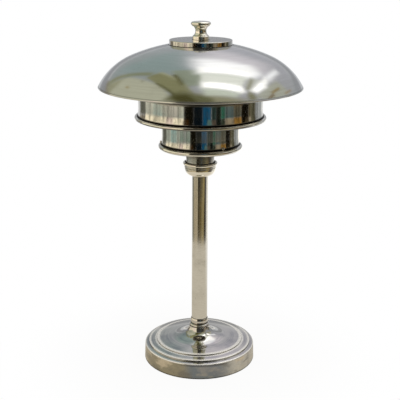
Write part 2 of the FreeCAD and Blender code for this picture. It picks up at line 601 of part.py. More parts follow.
def top_bridge():
    """Three-armed plate on the support rods that carries the stud and the dome."""
    top = BRIDGE_LEVEL + BRIDGE_THICKNESS
    hub = cylinder(BRIDGE_HUB_RADIUS, BRIDGE_LEVEL, top)
    corner = FreeCAD.Vector(0, -BRIDGE_ARM_WIDTH / 2, BRIDGE_LEVEL)
    bar = Part.makeBox(ROD_CIRCLE, BRIDGE_ARM_WIDTH, BRIDGE_THICKNESS, corner)
    end = cylinder(BRIDGE_ARM_WIDTH / 2, BRIDGE_LEVEL, top).translated(FreeCAD.Vector(ROD_CIRCLE, 0, 0))
    arms = around(bar.fuse(end), ARM_ANGLES).Solids
    stud_hole = cylinder(STUD_RADIUS + HOLE_CLEARANCE, BRIDGE_LEVEL - BEYOND, top + BEYOND)
    return hub.fuse(arms).removeSplitter().cut([stud_hole, rod_holes(BRIDGE_LEVEL)])


def support_rods():
    """Three threaded rods from the lower spider up to the bridge."""
    bottom = LOWER_SPIDER_LEVEL - ROD_NUT_HEIGHT - ROD_END
    top = BRIDGE_LEVEL + BRIDGE_THICKNESS + ROD_NUT_HEIGHT + ROD_END
    return around(cylinder(ROD_RADIUS, bottom, top).translated(FreeCAD.Vector(ROD_CIRCLE, 0, 0)), ARM_ANGLES)


def rod_nuts(level, thickness):
    """Nuts below and above a plate on each support rod."""
    bore = ROD_RADIUS + THREAD_CLEARANCE
    solids = []
    for bottom in (level - ROD_NUT_HEIGHT, level + thickness):
        nut = hex_nut(ROD_NUT_ACROSS_FLATS, ROD_NUT_HEIGHT, bore, bottom)
        solids += around(nut.translated(FreeCAD.Vector(ROD_CIRCLE, 0, 0)), ARM_ANGLES).Solids
    return Part.makeCompound(solids)


# ---------------------------------------------------------------- drums


def spun_drum(radius, height, lip_reach, lip_height, bottom, screw_level):
    """Spun sheet drum, open at both ends, whose lower edge is rolled out and up into a lip."""
    top = bottom + height
    lip = radius + lip_reach
    outline = Outline(radius, top).to(radius, bottom + DRUM_SHEET)
    outline.to(lip - DRUM_SHEET, bottom + DRUM_SHEET).to(lip - DRUM_SHEET, bottom + lip_height)
    outline.to(lip, bottom + lip_height).to(lip, bottom, LIP_ROUNDING)
    outline.to(radius - DRUM_SHEET, bottom, LIP_ROUNDING)
    drum = outline.to(radius - DRUM_SHEET, top).revolved()
    return drum.cut(radial_holes(DRUM_SCREW_RADIUS + HOLE_CLEARANCE, radius, screw_level, ARM_ANGLES))


def lower_drum():
    """Narrow drum around the lampholder and bulb."""
    bottom = LOWER_SCREW_LEVEL - LOWER_DRUM_HOLE_HEIGHT
    size = (LOWER_DRUM_RADIUS, LOWER_DRUM_HEIGHT, LOWER_LIP_REACH, LOWER_LIP_HEIGHT)
    return spun_drum(*size, bottom, LOWER_SCREW_LEVEL)


def upper_drum():
    """Wide drum between the lower drum and the dome."""
    bottom = UPPER_SCREW_LEVEL - UPPER_DRUM_HOLE_HEIGHT
    size = (UPPER_DRUM_RADIUS, UPPER_DRUM_HEIGHT, UPPER_LIP_REACH, UPPER_LIP_HEIGHT)
    return spun_drum(*size, bottom, UPPER_SCREW_LEVEL)


def drum_screws(wall, level):
    """Screws through a drum's wall into the tabs of its spider."""
    outline = Outline(0, -DRUM_SCREW_LENGTH).to(DRUM_SCREW_RADIUS, -DRUM_SCREW_LENGTH)
    outline.to(DRUM_SCREW_RADIUS, 0).to(DRUM_SCREW_HEAD_RADIUS, 0)
    outline.to(DRUM_SCREW_HEAD_RADIUS, DRUM_SCREW_HEAD_HEIGHT - DRUM_SCREW_HEAD_CHAMFER)
    outline.to(DRUM_SCREW_HEAD_RADIUS - DRUM_SCREW_HEAD_CHAMFER, DRUM_SCREW_HEAD_HEIGHT)
    screw = outline.to(0, DRUM_SCREW_HEAD_HEIGHT).revolved()
    return around(radial(screw, wall, level), ARM_ANGLES)


# ---------------------------------------------------------------- stud, dome and cap


def finial_stud():
    """Threaded stud from the bridge up through the dome and cap into the finial."""
    return cylinder(STUD_RADIUS, BRIDGE_LEVEL - STUD_NUT_HEIGHT - STUD_TAIL, STUD_TOP)


def stud_nuts():
    """Nuts below and above the bridge on the stud."""
    bore = STUD_RADIUS + THREAD_CLEARANCE
    bottoms = (BRIDGE_LEVEL - STUD_NUT_HEIGHT, STUD_UPPER_NUT_BOTTOM)
    nuts = [hex_nut(STUD_NUT_ACROSS_FLATS, STUD_NUT_HEIGHT, bore, bottom) for bottom in bottoms]
    return Part.makeCompound(nuts)


def seat_washer():
    """Wide washer on which the dome's flat seat rests."""
    return ring(SEAT_WASHER_RADIUS, STUD_RADIUS + HOLE_CLEARANCE, SEAT_WASHER_BOTTOM, DOME_SEAT_BOTTOM)


def dome_shoulder_centre():
    """Centre of the shoulder's arc, which meets the crown's arc smoothly and ends at the rim."""
    crown_centre = DOME_CROWN - DOME_CROWN_CURVE
    apart = math.hypot(DOME_RADIUS, DOME_HEM_TOP - crown_centre)
    near = DOME_CROWN_CURVE - DOME_SHOULDER_CURVE
    along = (near**2 - DOME_SHOULDER_CURVE**2 + apart**2) / (2 * apart)
    aside = math.sqrt(near**2 - along**2)
    right, up = DOME_RADIUS / apart, (DOME_HEM_TOP - crown_centre) / apart
    return right * along - up * aside, crown_centre + up * along + right * aside


def on_arc(centre, radius, angle):
    """Point on an arc in the plane of radius and height, at an angle in degrees above level."""
    turn = math.radians(angle)
    return centre[0] + radius * math.cos(turn), centre[1] + radius * math.sin(turn)


def angle_at_radius(centre, curve, radius):
    """Angle above level at which an arc passes this distance from the axis."""
    return math.degrees(math.acos((radius - centre[0]) / curve))


def dome():
    """Spun dome with a sunk flat seat for the cap and a folded hem at its rim."""
    crown, shoulder = (0.0, DOME_CROWN - DOME_CROWN_CURVE), dome_shoulder_centre()
    joint = math.degrees(math.atan2(shoulder[1] - crown[1], shoulder[0]))
    seat = CAP_RADIUS + FIT_CLEARANCE
    step = angle_at_radius(crown, DOME_CROWN_CURVE, seat + DOME_SEAT_STEP)
    rim = math.degrees(math.atan2(DOME_HEM_TOP - shoulder[1], DOME_RADIUS - shoulder[0]))
    hem_inside = DOME_RADIUS - DOME_HEM_THICKNESS
    hem_bottom = DOME_HEM_TOP - DOME_HEM_HEIGHT
    inner_rim = angle_at_radius(shoulder, DOME_SHOULDER_CURVE - DOME_SHEET, hem_inside)
    outline = Outline(DOME_HOLE_RADIUS, CAP_BOTTOM).to(seat, CAP_BOTTOM)
    outline.to(*on_arc(crown, DOME_CROWN_CURVE, step))
    middle, end = on_arc(crown, DOME_CROWN_CURVE, (step + joint) / 2), on_arc(crown, DOME_CROWN_CURVE, joint)
    outline.arc(middle, end, CROWN_CHORDS)
    middle = on_arc(shoulder, DOME_SHOULDER_CURVE, (joint + rim) / 2)
    outline.arc(middle, (DOME_RADIUS, DOME_HEM_TOP), SHOULDER_CHORDS)
    outline.to(DOME_RADIUS, hem_bottom, DOME_HEM_ROUNDING).to(hem_inside, hem_bottom, DOME_HEM_ROUNDING)
    crown_inside, shoulder_inside = DOME_CROWN_CURVE - DOME_SHEET, DOME_SHOULDER_CURVE - DOME_SHEET
    outline.to(*on_arc(shoulder, shoulder_inside, inner_rim))
    middle = on_arc(shoulder, shoulder_inside, (joint + inner_rim) / 2)
    outline.arc(middle, on_arc(shoulder, shoulder_inside, joint), SHOULDER_CHORDS)
    middle, end = on_arc(crown, crown_inside, (step + joint) / 2), on_arc(crown, crown_inside, step)
    outline.arc(middle, end, CROWN_CHORDS).to(seat - DOME_SHEET / 2, DOME_SEAT_BOTTOM)
    return outline.to(DOME_HOLE_RADIUS, DOME_SEAT_BOTTOM).revolved()


def cap_disc():
    """Turned cap on the dome's seat, with a spigot in the dome's hole."""
    bore = STUD_RADIUS + HOLE_CLEARANCE
    spigot = DOME_HOLE_RADIUS - FIT_CLEARANCE
    outline = Outline(bore, CAP_BOTTOM - CAP_SPIGOT_DEPTH).to(spigot, CAP_BOTTOM - CAP_SPIGOT_DEPTH)
    outline.to(spigot, CAP_BOTTOM).to(CAP_RADIUS, CAP_BOTTOM)
    return outline.to(CAP_RADIUS, FINIAL_BOTTOM, CAP_EDGE_ROUNDING).to(bore, FINIAL_BOTTOM).revolved()


# ---------------------------------------------------------------- finial


def finial_insert():
    """Round tapped insert in the finial's foot."""
    bore = STUD_RADIUS + THREAD_CLEARANCE
    return ring(FINIAL_INSERT_RADIUS, bore, FINIAL_BOTTOM, FINIAL_BOTTOM + FINIAL_INSERT_HEIGHT)


def finial():
    """Turned knob with a foot, a waist and a domed head, bored for its insert and the stud."""
    foot_top = FINIAL_BOTTOM + FINIAL_FOOT_HEIGHT
    waist_top = foot_top + FINIAL_WAIST_HEIGHT
    head_bottom = waist_top + FINIAL_FLARE_HEIGHT
    head_top = head_bottom + FINIAL_HEAD_HEIGHT
    insert_bore = FINIAL_INSERT_RADIUS + INSERT_CLEARANCE
    insert_top = FINIAL_BOTTOM + FINIAL_INSERT_HEIGHT + INSERT_CLEARANCE
    stud_bore = STUD_RADIUS + HOLE_CLEARANCE
    stud_end = STUD_TOP + STUD_END_ROOM
    outline = Outline(insert_bore, FINIAL_BOTTOM).to(FINIAL_FOOT_RADIUS, FINIAL_BOTTOM)
    outline.to(FINIAL_FOOT_RADIUS, foot_top, FINIAL_FOOT_ROUNDING).to(FINIAL_FLARE_RADIUS, foot_top)
    waist = (FINIAL_WAIST_RADIUS, (foot_top + waist_top) / 2)
    outline.arc(waist, (FINIAL_FLARE_RADIUS, waist_top), FINIAL_WAIST_CHORDS)
    outline.to(FINIAL_HEAD_RADIUS, head_bottom)
    outline.to(FINIAL_HEAD_RADIUS, head_top, FINIAL_HEAD_ROUNDING).to(0, head_top)
    outline.to(0, stud_end).to(stud_bore, stud_end).to(stud_bore, insert_top)
    return outline.to(insert_bore, insert_top).revolved()


# ---------------------------------------------------------------- bulb


def bulb_contact():
    """Centre contact of the bulb, which rests on the lampholder's contact."""
    return cylinder(BULB_CONTACT_RADIUS, BULB_BOTTOM, BULB_BOTTOM + BULB_CONTACT_HEIGHT)


def bulb_insulator():
    """Dark insulating cone between the bulb's contact and its cap."""
    outline = Outline(0, BULB_INSULATOR_BOTTOM).to(BULB_CONTACT_RADIUS, BULB_INSULATOR_BOTTOM)
    return outline.to(BULB_INSULATOR_RADIUS, BULB_CAP_BOTTOM).to(0, BULB_CAP_BOTTOM).revolved()


def bulb_cap():
    """Screw cap of the bulb, a cup of thin metal."""
    chamfer_top = BULB_CAP_BOTTOM + BULB_CAP_CHAMFER
    inside = BULB_CAP_RADIUS - BULB_CAP_WALL
    outline = Outline(0, BULB_CAP_BOTTOM).to(BULB_INSULATOR_RADIUS, BULB_CAP_BOTTOM)
    outline.to(BULB_CAP_RADIUS, chamfer_top).to(BULB_CAP_RADIUS, BULB_CAP_TOP).to(inside, BULB_CAP_TOP)
    return outline.to(inside, chamfer_top).to(0, chamfer_top).revolved()


def bulb_glass():
    """Frosted glass tube, closed by a rounded end above and standing on the cap."""
    end = BULB_BOTTOM + BULB_LENGTH
    shoulder = BULB_CAP_TOP + BULB_NECK_RISE
    neck, tube = BULB_CAP_RADIUS - BULB_GLASS_WALL, BULB_RADIUS - BULB_GLASS_WALL
    outline = Outline(neck, BULB_CAP_TOP).to(BULB_CAP_RADIUS, BULB_CAP_TOP).to(BULB_RADIUS, shoulder)
    outline.to(BULB_RADIUS, end, BULB_END_ROUNDING).to(0, end).to(0, end - BULB_GLASS_WALL)
    outline.to(tube, end - BULB_GLASS_WALL, BULB_END_ROUNDING - BULB_GLASS_WALL)
    return outline.to(tube, shoulder).revolved()


# ---------------------------------------------------------------- the whole lamp

PIECES = {
    "felt_pad": felt_pad,
    "base_weight": base_weight,
    "base_shell": base_shell,
    "cable_bush": cable_bush,
    "clamp_nut": lambda: pipe_nut(CLAMP_NUT_BOTTOM),
    "clamp_washer": clamp_washer,
    "lamp_pipe": lamp_pipe,
    "stem_collar": stem_collar,
    "stem_tube": stem_tube,
    "neck_cup": neck_cup,
    "holder_base": holder_base,
    "holder_lock_nut": lambda: pipe_nut(LOCK_NUT_BOTTOM),
    "holder_sleeve": holder_sleeve,
    "holder_body": holder_body,
    "holder_screw_shell": holder_screw_shell,
    "holder_contact": holder_contact,
    "shade_ring": shade_ring,
    "lower_spider": lower_spider,
    "lower_drum": lower_drum,
    "lower_drum_screws": lambda: drum_screws(LOWER_DRUM_RADIUS, LOWER_SCREW_LEVEL),
    "support_rods": support_rods,
    "lower_rod_nuts": lambda: rod_nuts(LOWER_SPIDER_LEVEL, SPIDER_THICKNESS),
    "upper_spider": upper_spider,
    "middle_rod_nuts": lambda: rod_nuts(UPPER_SPIDER_LEVEL, SPIDER_THICKNESS),
    "upper_drum": upper_drum,
    "upper_drum_screws": lambda: drum_screws(UPPER_DRUM_RADIUS, UPPER_SCREW_LEVEL),
    "top_bridge": top_bridge,
    "top_rod_nuts": lambda: rod_nuts(BRIDGE_LEVEL, BRIDGE_THICKNESS),
    "finial_stud": finial_stud,
    "stud_nuts": stud_nuts,
    "seat_washer": seat_washer,
    "dome": dome,
    "cap_disc": cap_disc,
    "finial_insert": finial_insert,
    "finial": finial,
    "bulb_contact": bulb_contact,
    "bulb_insulator": bulb_insulator,
    "bulb_cap": bulb_cap,
    "bulb_glass": bulb_glass,
}

os.makedirs("parts", exist_ok=True)
for name, build in PIECES.items():
    shape = build()
    shape.exportStep(f"parts/{name}.step")
    box = shape.BoundBox
    print(f"{name}: {len(shape.Solids)} solids, valid {shape.isValid()}, volume {shape.Volume:.0f}, "
          f"z {box.ZMin:.2f} to {box.ZMax:.2f}, half width {box.XMax:.2f}")
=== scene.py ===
"""Table lamp with a domed shade over two spun drums: its finely turned pieces, finishes and studio."""

from __future__ import annotations

import json
import logging
import math
from collections.abc import Mapping, Sequence
from dataclasses import dataclass
from enum import Enum
from typing import Any, NamedTuple, Protocol, Union

import bpy
import numpy as np
from mathutils import Matrix, Vector
from numpy.typing import NDArray

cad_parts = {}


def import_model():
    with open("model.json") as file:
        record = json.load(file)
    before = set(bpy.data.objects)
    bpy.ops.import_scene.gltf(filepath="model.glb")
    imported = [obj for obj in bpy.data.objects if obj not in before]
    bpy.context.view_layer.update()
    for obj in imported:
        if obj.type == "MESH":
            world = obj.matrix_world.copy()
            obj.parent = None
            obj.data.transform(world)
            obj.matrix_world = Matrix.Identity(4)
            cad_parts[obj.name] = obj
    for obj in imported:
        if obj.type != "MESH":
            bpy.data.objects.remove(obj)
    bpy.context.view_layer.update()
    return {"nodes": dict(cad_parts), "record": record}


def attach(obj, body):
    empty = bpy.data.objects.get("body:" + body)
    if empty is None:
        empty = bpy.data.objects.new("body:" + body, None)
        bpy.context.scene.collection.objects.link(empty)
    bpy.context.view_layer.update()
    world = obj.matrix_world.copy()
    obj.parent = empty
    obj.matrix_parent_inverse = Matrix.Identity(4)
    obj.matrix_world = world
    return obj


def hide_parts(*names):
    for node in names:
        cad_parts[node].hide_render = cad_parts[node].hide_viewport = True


LOG = logging.getLogger("lamp")
FloatArray = NDArray[np.float64]
IntArray = NDArray[np.int64]
Colour = tuple[float, float, float]
Point = tuple[float, float]
Span = tuple[float, float]

MILLIMETRE = 0.001
WHITE: Colour = (1.0, 1.0, 1.0)
BLACK: Colour = (0.0, 0.0, 0.0)
BODY_STAND = "stand"
BODY_SHADE = "shade"
BODY_KNOB = "knob"
BODY_BULB = "bulb"


def shade_of(code: str) -> Colour:
    """Give the linear colour of a six digit hexadecimal screen colour.

    Args:
        code: Red, green and blue, two digits each.

    Returns:
        Linear red, green and blue, from 0 to 1.
    """
    screen = np.array([int(code[place : place + 2], 16) for place in (0, 2, 4)]) / 255
    linear = np.where(screen <= 0.04045, screen / 12.92, ((screen + 0.055) / 1.055) ** 2.4)
    return tuple(float(channel) for channel in linear)


# ------------------------------------------------------------------------------------ shapes


@dataclass
class Corner:
    """One corner of a half section, with its rounding or with the arc that leads to it."""

    radius: float
    height: float
    rounding: float = 0.0
    bulge: float = 0.0


class Bend(NamedTuple):
    """End of an arc in a half section: radius and height in millimetres, its bulge and its chords."""

    radius: float
    height: float
    bulge: float
    steps: int = 16

    def raised(self, foot: float) -> Bend:
        """The same bend, with its height counted from a foot."""
        return self._replace(height=foot + self.height)


class HalfSection:
    """Half section of a turned piece: radius and height in millimetres, straight runs and arcs."""

    ROUNDING_STEPS = 7
    GUARD = 0.12
    SAME_PLACE = 1e-4

    def __init__(self, radius: float, height: float, rounding: float = 0.0) -> None:
        """Start the section at its first corner."""
        self.corners: list[Corner] = [Corner(radius, height, rounding)]
        self.steps: list[int] = [0]

    def to(self, radius: float, height: float, rounding: float = 0.0) -> HalfSection:
        """Add a straight run to a corner, which may be rounded.

        Args:
            radius: Radius of the corner.
            height: Height of the corner.
            rounding: Radius of its rounding, or 0.

        Returns:
            The section itself.
        """
        self.corners.append(Corner(radius, height, rounding))
        self.steps.append(1)
        return self

    def arc(self, radius: float, height: float, bulge: float, steps: int = 16) -> HalfSection:
        """Add an arc to a corner.

        Args:
            radius: Radius of the arc's end.
            height: Height of the arc's end.
            bulge: Tangent of a quarter of the arc's turn, positive when it turns to the left.
            steps: Chords along the arc.

        Returns:
            The section itself.
        """
        self.corners.append(Corner(radius, height, 0.0, bulge))
        self.steps.append(steps)
        return self

    @staticmethod
    def bent(start: FloatArray, end: FloatArray, bulge: float, steps: int) -> FloatArray:
        """Points along an arc: start + R (sin t - sin t0, cos t0 - cos t), t its direction of travel.

        Args:
            start: First point.
            end: Last point.
            bulge: Tangent of a quarter of the arc's turn.
            steps: Chords along the arc.

        Returns:
            The points after the first, one row each.
        """
        half_turn = 2 * math.atan(bulge)
        chord = end - start
        first = math.atan2(chord[1], chord[0]) - half_turn
        size = float(np.hypot(*chord)) / (2 * math.sin(half_turn))
        way = first + np.linspace(0, 2 * half_turn, steps + 1)[1:]
        move = np.stack([np.sin(way) - math.sin(first), math.cos(first) - np.cos(way)], axis=1)
        return start + size * move

    def rounded(self, index: int) -> FloatArray:
        """Points that stand for a corner: the corner itself, or those along its rounding.

        Args:
            index: Place of the corner in the section.

        Returns:
            The points, one row each.
        """
        here = self.corners[index]
        place = np.array([here.radius, here.height])
        if not here.rounding:
            return place[None]
        before, after = self.corners[index - 1], self.corners[(index + 1) % len(self.corners)]
        arriving = place - (before.radius, before.height)
        leaving = np.array([after.radius, after.height]) - place
        arriving, leaving = arriving / np.hypot(*arriving), leaving / np.hypot(*leaving)
        turn = math.atan2(arriving[0] * leaving[1] - arriving[1] * leaving[0], arriving @ leaving)
        trim = here.rounding * abs(math.tan(turn / 2))
        start, end = place - arriving * trim, place + leaving * trim
        curve = self.bent(start, end, math.tan(turn / 4), self.ROUNDING_STEPS)
        return np.concatenate([start[None], curve])

    def guarded(self, start: FloatArray, end: FloatArray) -> FloatArray:
        """Two points close to the ends of a straight run, which keep its shading straight.

        Args:
            start: First point of the run.
            end: Last point of the run.

        Returns:
            The two points, or none on a short run.
        """
        run = end - start
        length = float(np.hypot(*run))
        if length < 3 * self.GUARD:
            return np.empty((0, 2))
        return np.stack([start + run * self.GUARD / length, end - run * self.GUARD / length])

    def points(self) -> FloatArray:
        """The whole section, anticlockwise, in metres.

        Returns:
            Radius and height of each point, one row each.
        """
        places = [self.rounded(index) for index in range(len(self.corners))]
        rows: list[FloatArray] = []
        for index, corner in enumerate(self.corners):
            start, end = places[index - 1][-1], places[index][0]
            if corner.bulge:
                rows.append(self.bent(start, end, corner.bulge, self.steps[index])[:-1])
            elif index or self.corners[0].radius > 0 or self.corners[-1].radius > 0:
                rows.append(self.guarded(start, end))
            rows.append(places[index])
        section = np.concatenate(rows)
        apart = np.hypot(*(section - np.roll(section, 1, axis=0)).T) > self.SAME_PLACE
        section = section[apart | (section[:, 0] == 0)]
        following = np.roll(section, -1, axis=0)
        area = np.sum(section[:, 0] * following[:, 1] - following[:, 0] * section[:, 1])
        return (section if area > 0 else section[::-1]) * MILLIMETRE


@dataclass(frozen=True)
class Surface:
    """Points and faces of one closed surface, in metres."""

    points: FloatArray
    quads: IntArray
    triangles: IntArray

    def joined(self, other: Surface) -> Surface:
        """Put another surface beside this one.

        Args:
            other: The surface to add.

        Returns:
            Both in one surface.
        """
        shift = len(self.points)
        return Surface(
            np.concatenate([self.points, other.points]),
            np.concatenate([self.quads, other.quads + shift]),
            np.concatenate([self.triangles, other.triangles + shift]),
        )

    def moved(self, matrix: FloatArray, offset: Sequence[float]) -> Surface:
        """Turn the surface by a rotation matrix and then shift it by an offset in metres."""
        return Surface(self.points @ matrix.T + np.asarray(offset), self.quads, self.triangles)


def grid_faces(rows: int, columns: int, closed_rows: bool) -> IntArray:
    """Quads between neighbouring rows and columns of a grid whose columns run round a circle.

    Args:
        rows: Number of rows, one for each point of the section.
        columns: Number of columns, one for each step round the axis.
        closed_rows: Whether the last row joins the first.

    Returns:
        Four point numbers for each quad: (i, j), (i, j+1), (i+1, j+1), (i+1, j).
    """
    row = np.arange(rows if closed_rows else rows - 1)[:, None]
    column = np.arange(columns)[None, :]
    above, beside = (row + 1) % rows, (column + 1) % columns
    corners = ((row, column), (row, beside), (above, beside), (above, column))
    numbers = [along * columns + across for along, across in corners]
    return np.stack(numbers, axis=-1).reshape(-1, 4)


def turned(section: FloatArray, segments: int) -> Surface:
    """Turn a section round the axis: x = r cos a, y = r sin a, z = h, with a from 0 to a full turn.

    Args:
        section: Radius and height, anticlockwise. It is a closed ring, unless it starts and
            ends on the axis, where a pole closes it.
        segments: Steps round the axis.

    Returns:
        The closed surface.
    """
    ends_on_axis = section[0, 0] == 0 or section[-1, 0] == 0
    if ends_on_axis:
        on_axis = section[:, 0] == 0
        shift = int(np.argmax(on_axis & ~np.roll(on_axis, -1)))
        section = np.roll(section, -shift, axis=0)
        poles, section = section[[0, -1]], section[1:-1]
    angle = np.arange(segments) * 2 * np.pi / segments
    radius, height = section[:, :1], section[:, 1:]
    ring = np.stack([radius * np.cos(angle), radius * np.sin(angle), height + 0 * angle], axis=-1)
    points = ring.reshape(-1, 3)
    quads = grid_faces(len(section), segments, not ends_on_axis)
    if not ends_on_axis:
        return Surface(points, quads, np.empty((0, 3), int))
    low, high = len(points), len(points) + 1
    here = np.arange(segments)
    beside = (here + 1) % segments
    last = (len(section) - 1) * segments
    bottom = np.stack([np.full(segments, low), beside, here], axis=1)
    top = np.stack([last + here, last + beside, np.full(segments, high)], axis=1)
    ends = np.stack([0 * poles[:, 0], 0 * poles[:, 0], poles[:, 1]], axis=1)
    return Surface(np.concatenate([points, ends]), quads, np.concatenate([bottom, top]))


def threaded(surface: Surface, span: Point, pitch: float, depth: float) -> Surface:
    """Press a rolled thread into a turned surface.

    A point at height z and angle a moves in by depth (1 - cos(2 pi z / pitch - a)) / 2, and less
    within one pitch of the span's ends.

    Args:
        surface: The turned surface, about the axis.
        span: Lowest and highest thread, in millimetres.
        pitch: Rise of the thread in one turn, in millimetres.
        depth: Depth of the thread, in millimetres.

    Returns:
        The threaded surface.
    """
    x, y, z = surface.points.T
    height = z / MILLIMETRE
    inside = np.clip((height - span[0]) / pitch, 0, 1) * np.clip((span[1] - height) / pitch, 0, 1)
    wave = (1 - np.cos(2 * np.pi * height / pitch - np.arctan2(y, x))) / 2
    radius = np.maximum(np.hypot(x, y), 1e-9)
    scale = 1 - depth * MILLIMETRE * wave * inside / radius
    return Surface(np.stack([x * scale, y * scale, z], axis=1), surface.quads, surface.triangles)


def linked(name: str, surface: Surface) -> bpy.types.Object:
    """Make an object from a surface and put it into the scene.

    Args:
        name: Name of the object and of its mesh.
        surface: Its points and faces.

    Returns:
        The new object.
    """
    mesh = bpy.data.meshes.new(name)
    mesh.from_pydata(surface.points.tolist(), [], surface.quads.tolist() + surface.triangles.tolist())
    thing = bpy.data.objects.new(name, mesh)
    bpy.context.scene.collection.objects.link(thing)
    return thing


def built(name: str, surface: Surface, body: str, *nodes: str) -> bpy.types.Object:
    """Make a piece from a surface, let it ride on its body and stand for its solids.

    Args:
        name: Name of the piece.
        surface: Its points and faces.
        body: Body that it moves with.
        nodes: Solids that it stands for.

    Returns:
        The new object.
    """
    piece = linked(name, surface)
    mesh = piece.data
    mesh.polygons.foreach_set("use_smooth", np.ones(len(mesh.polygons), bool))
    mesh.validate()
    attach(piece, body)
    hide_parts(*nodes)
    LOG.info("%s: %d faces on %s", name, len(mesh.polygons), body)
    return piece


def holed(piece: bpy.types.Object, cutter: Surface) -> None:
    """Cut one closed surface out of a piece, for good.

    Args:
        piece: The piece to cut.
        cutter: The closed surface to take away.
    """
    tool = linked("cutter", cutter)
    cut = piece.modifiers.new("cut", "BOOLEAN")
    cut.operation, cut.object, cut.solver = "DIFFERENCE", tool, "EXACT"
    graph = bpy.context.evaluated_depsgraph_get()
    finished = bpy.data.meshes.new_from_object(piece.evaluated_get(graph))
    piece.modifiers.clear()
    piece.data = finished
    bpy.data.objects.remove(tool)


# ------------------------------------------------------------------------------------ shaders

Operand = Union["Reading", float, int]


class Reading:
    """A number that a shader works out, with the arithmetic that adds its Math nodes."""

    CORE = 0.3

    def __init__(self, sheet: Sheet, socket: bpy.types.NodeSocket) -> None:
        """Keep the sheet of nodes and the socket that gives the number."""
        self.sheet = sheet
        self.socket = socket

    def worked(self, operation: str, *operands: Operand, clamped: bool = False) -> Reading:
        """Add a Math node on this number.

        Args:
            operation: The Math node's operation.
            operands: The numbers after this one.
            clamped: Whether the result stays between 0 and 1.

        Returns:
            The result.
        """
        inputs = dict(enumerate((self, *operands)))
        settings = {"operation": operation, "use_clamp": clamped}
        return self.sheet.number("ShaderNodeMath", settings, inputs)

    def __add__(self, other: Operand) -> Reading:
        """Sum."""
        return self.worked("ADD", other)

    def __sub__(self, other: Operand) -> Reading:
        """Difference."""
        return self.worked("SUBTRACT", other)

    def __mul__(self, other: Operand) -> Reading:
        """Product."""
        return self.worked("MULTIPLY", other)

    def __truediv__(self, other: Operand) -> Reading:
        """Quotient."""
        return self.worked("DIVIDE", other)

    def __rsub__(self, other: Operand) -> Reading:
        """Difference, with this number taken away."""
        return self.sheet.number("ShaderNodeMath", {"operation": "SUBTRACT"}, {0: other, 1: self})

    __radd__ = __add__
    __rmul__ = __mul__

    def root(self) -> Reading:
        """Square root."""
        return self.worked("SQRT")

    def size(self) -> Reading:
        """Size without the sign."""
        return self.worked("ABSOLUTE")

    def lesser(self, other: Operand) -> Reading:
        """The lesser of two numbers."""
        return self.worked("MINIMUM", other)

    def greater(self, other: Operand) -> Reading:
        """The greater of two numbers."""
        return self.worked("MAXIMUM", other)

    def between(self, low: float, high: float) -> Reading:
        """0 below low, 1 above high and a smooth rise in between (or a fall, when high is less).

        Args:
            low: Where the result is 0.
            high: Where the result is 1.

        Returns:
            The smoothed share.
        """
        falls = high < low
        ends = {"Value": self, "From Min": min(low, high), "From Max": max(low, high)}
        rise = self.sheet.number("ShaderNodeMapRange", {"interpolation_type": "SMOOTHSTEP"}, ends)
        return 1 - rise if falls else rise

    def near(self, middle: float, reach: float) -> Reading:
        """1 about the middle, falling smoothly to 0 at a reach on either side."""
        return (self - middle).size().between(reach, reach * self.CORE)


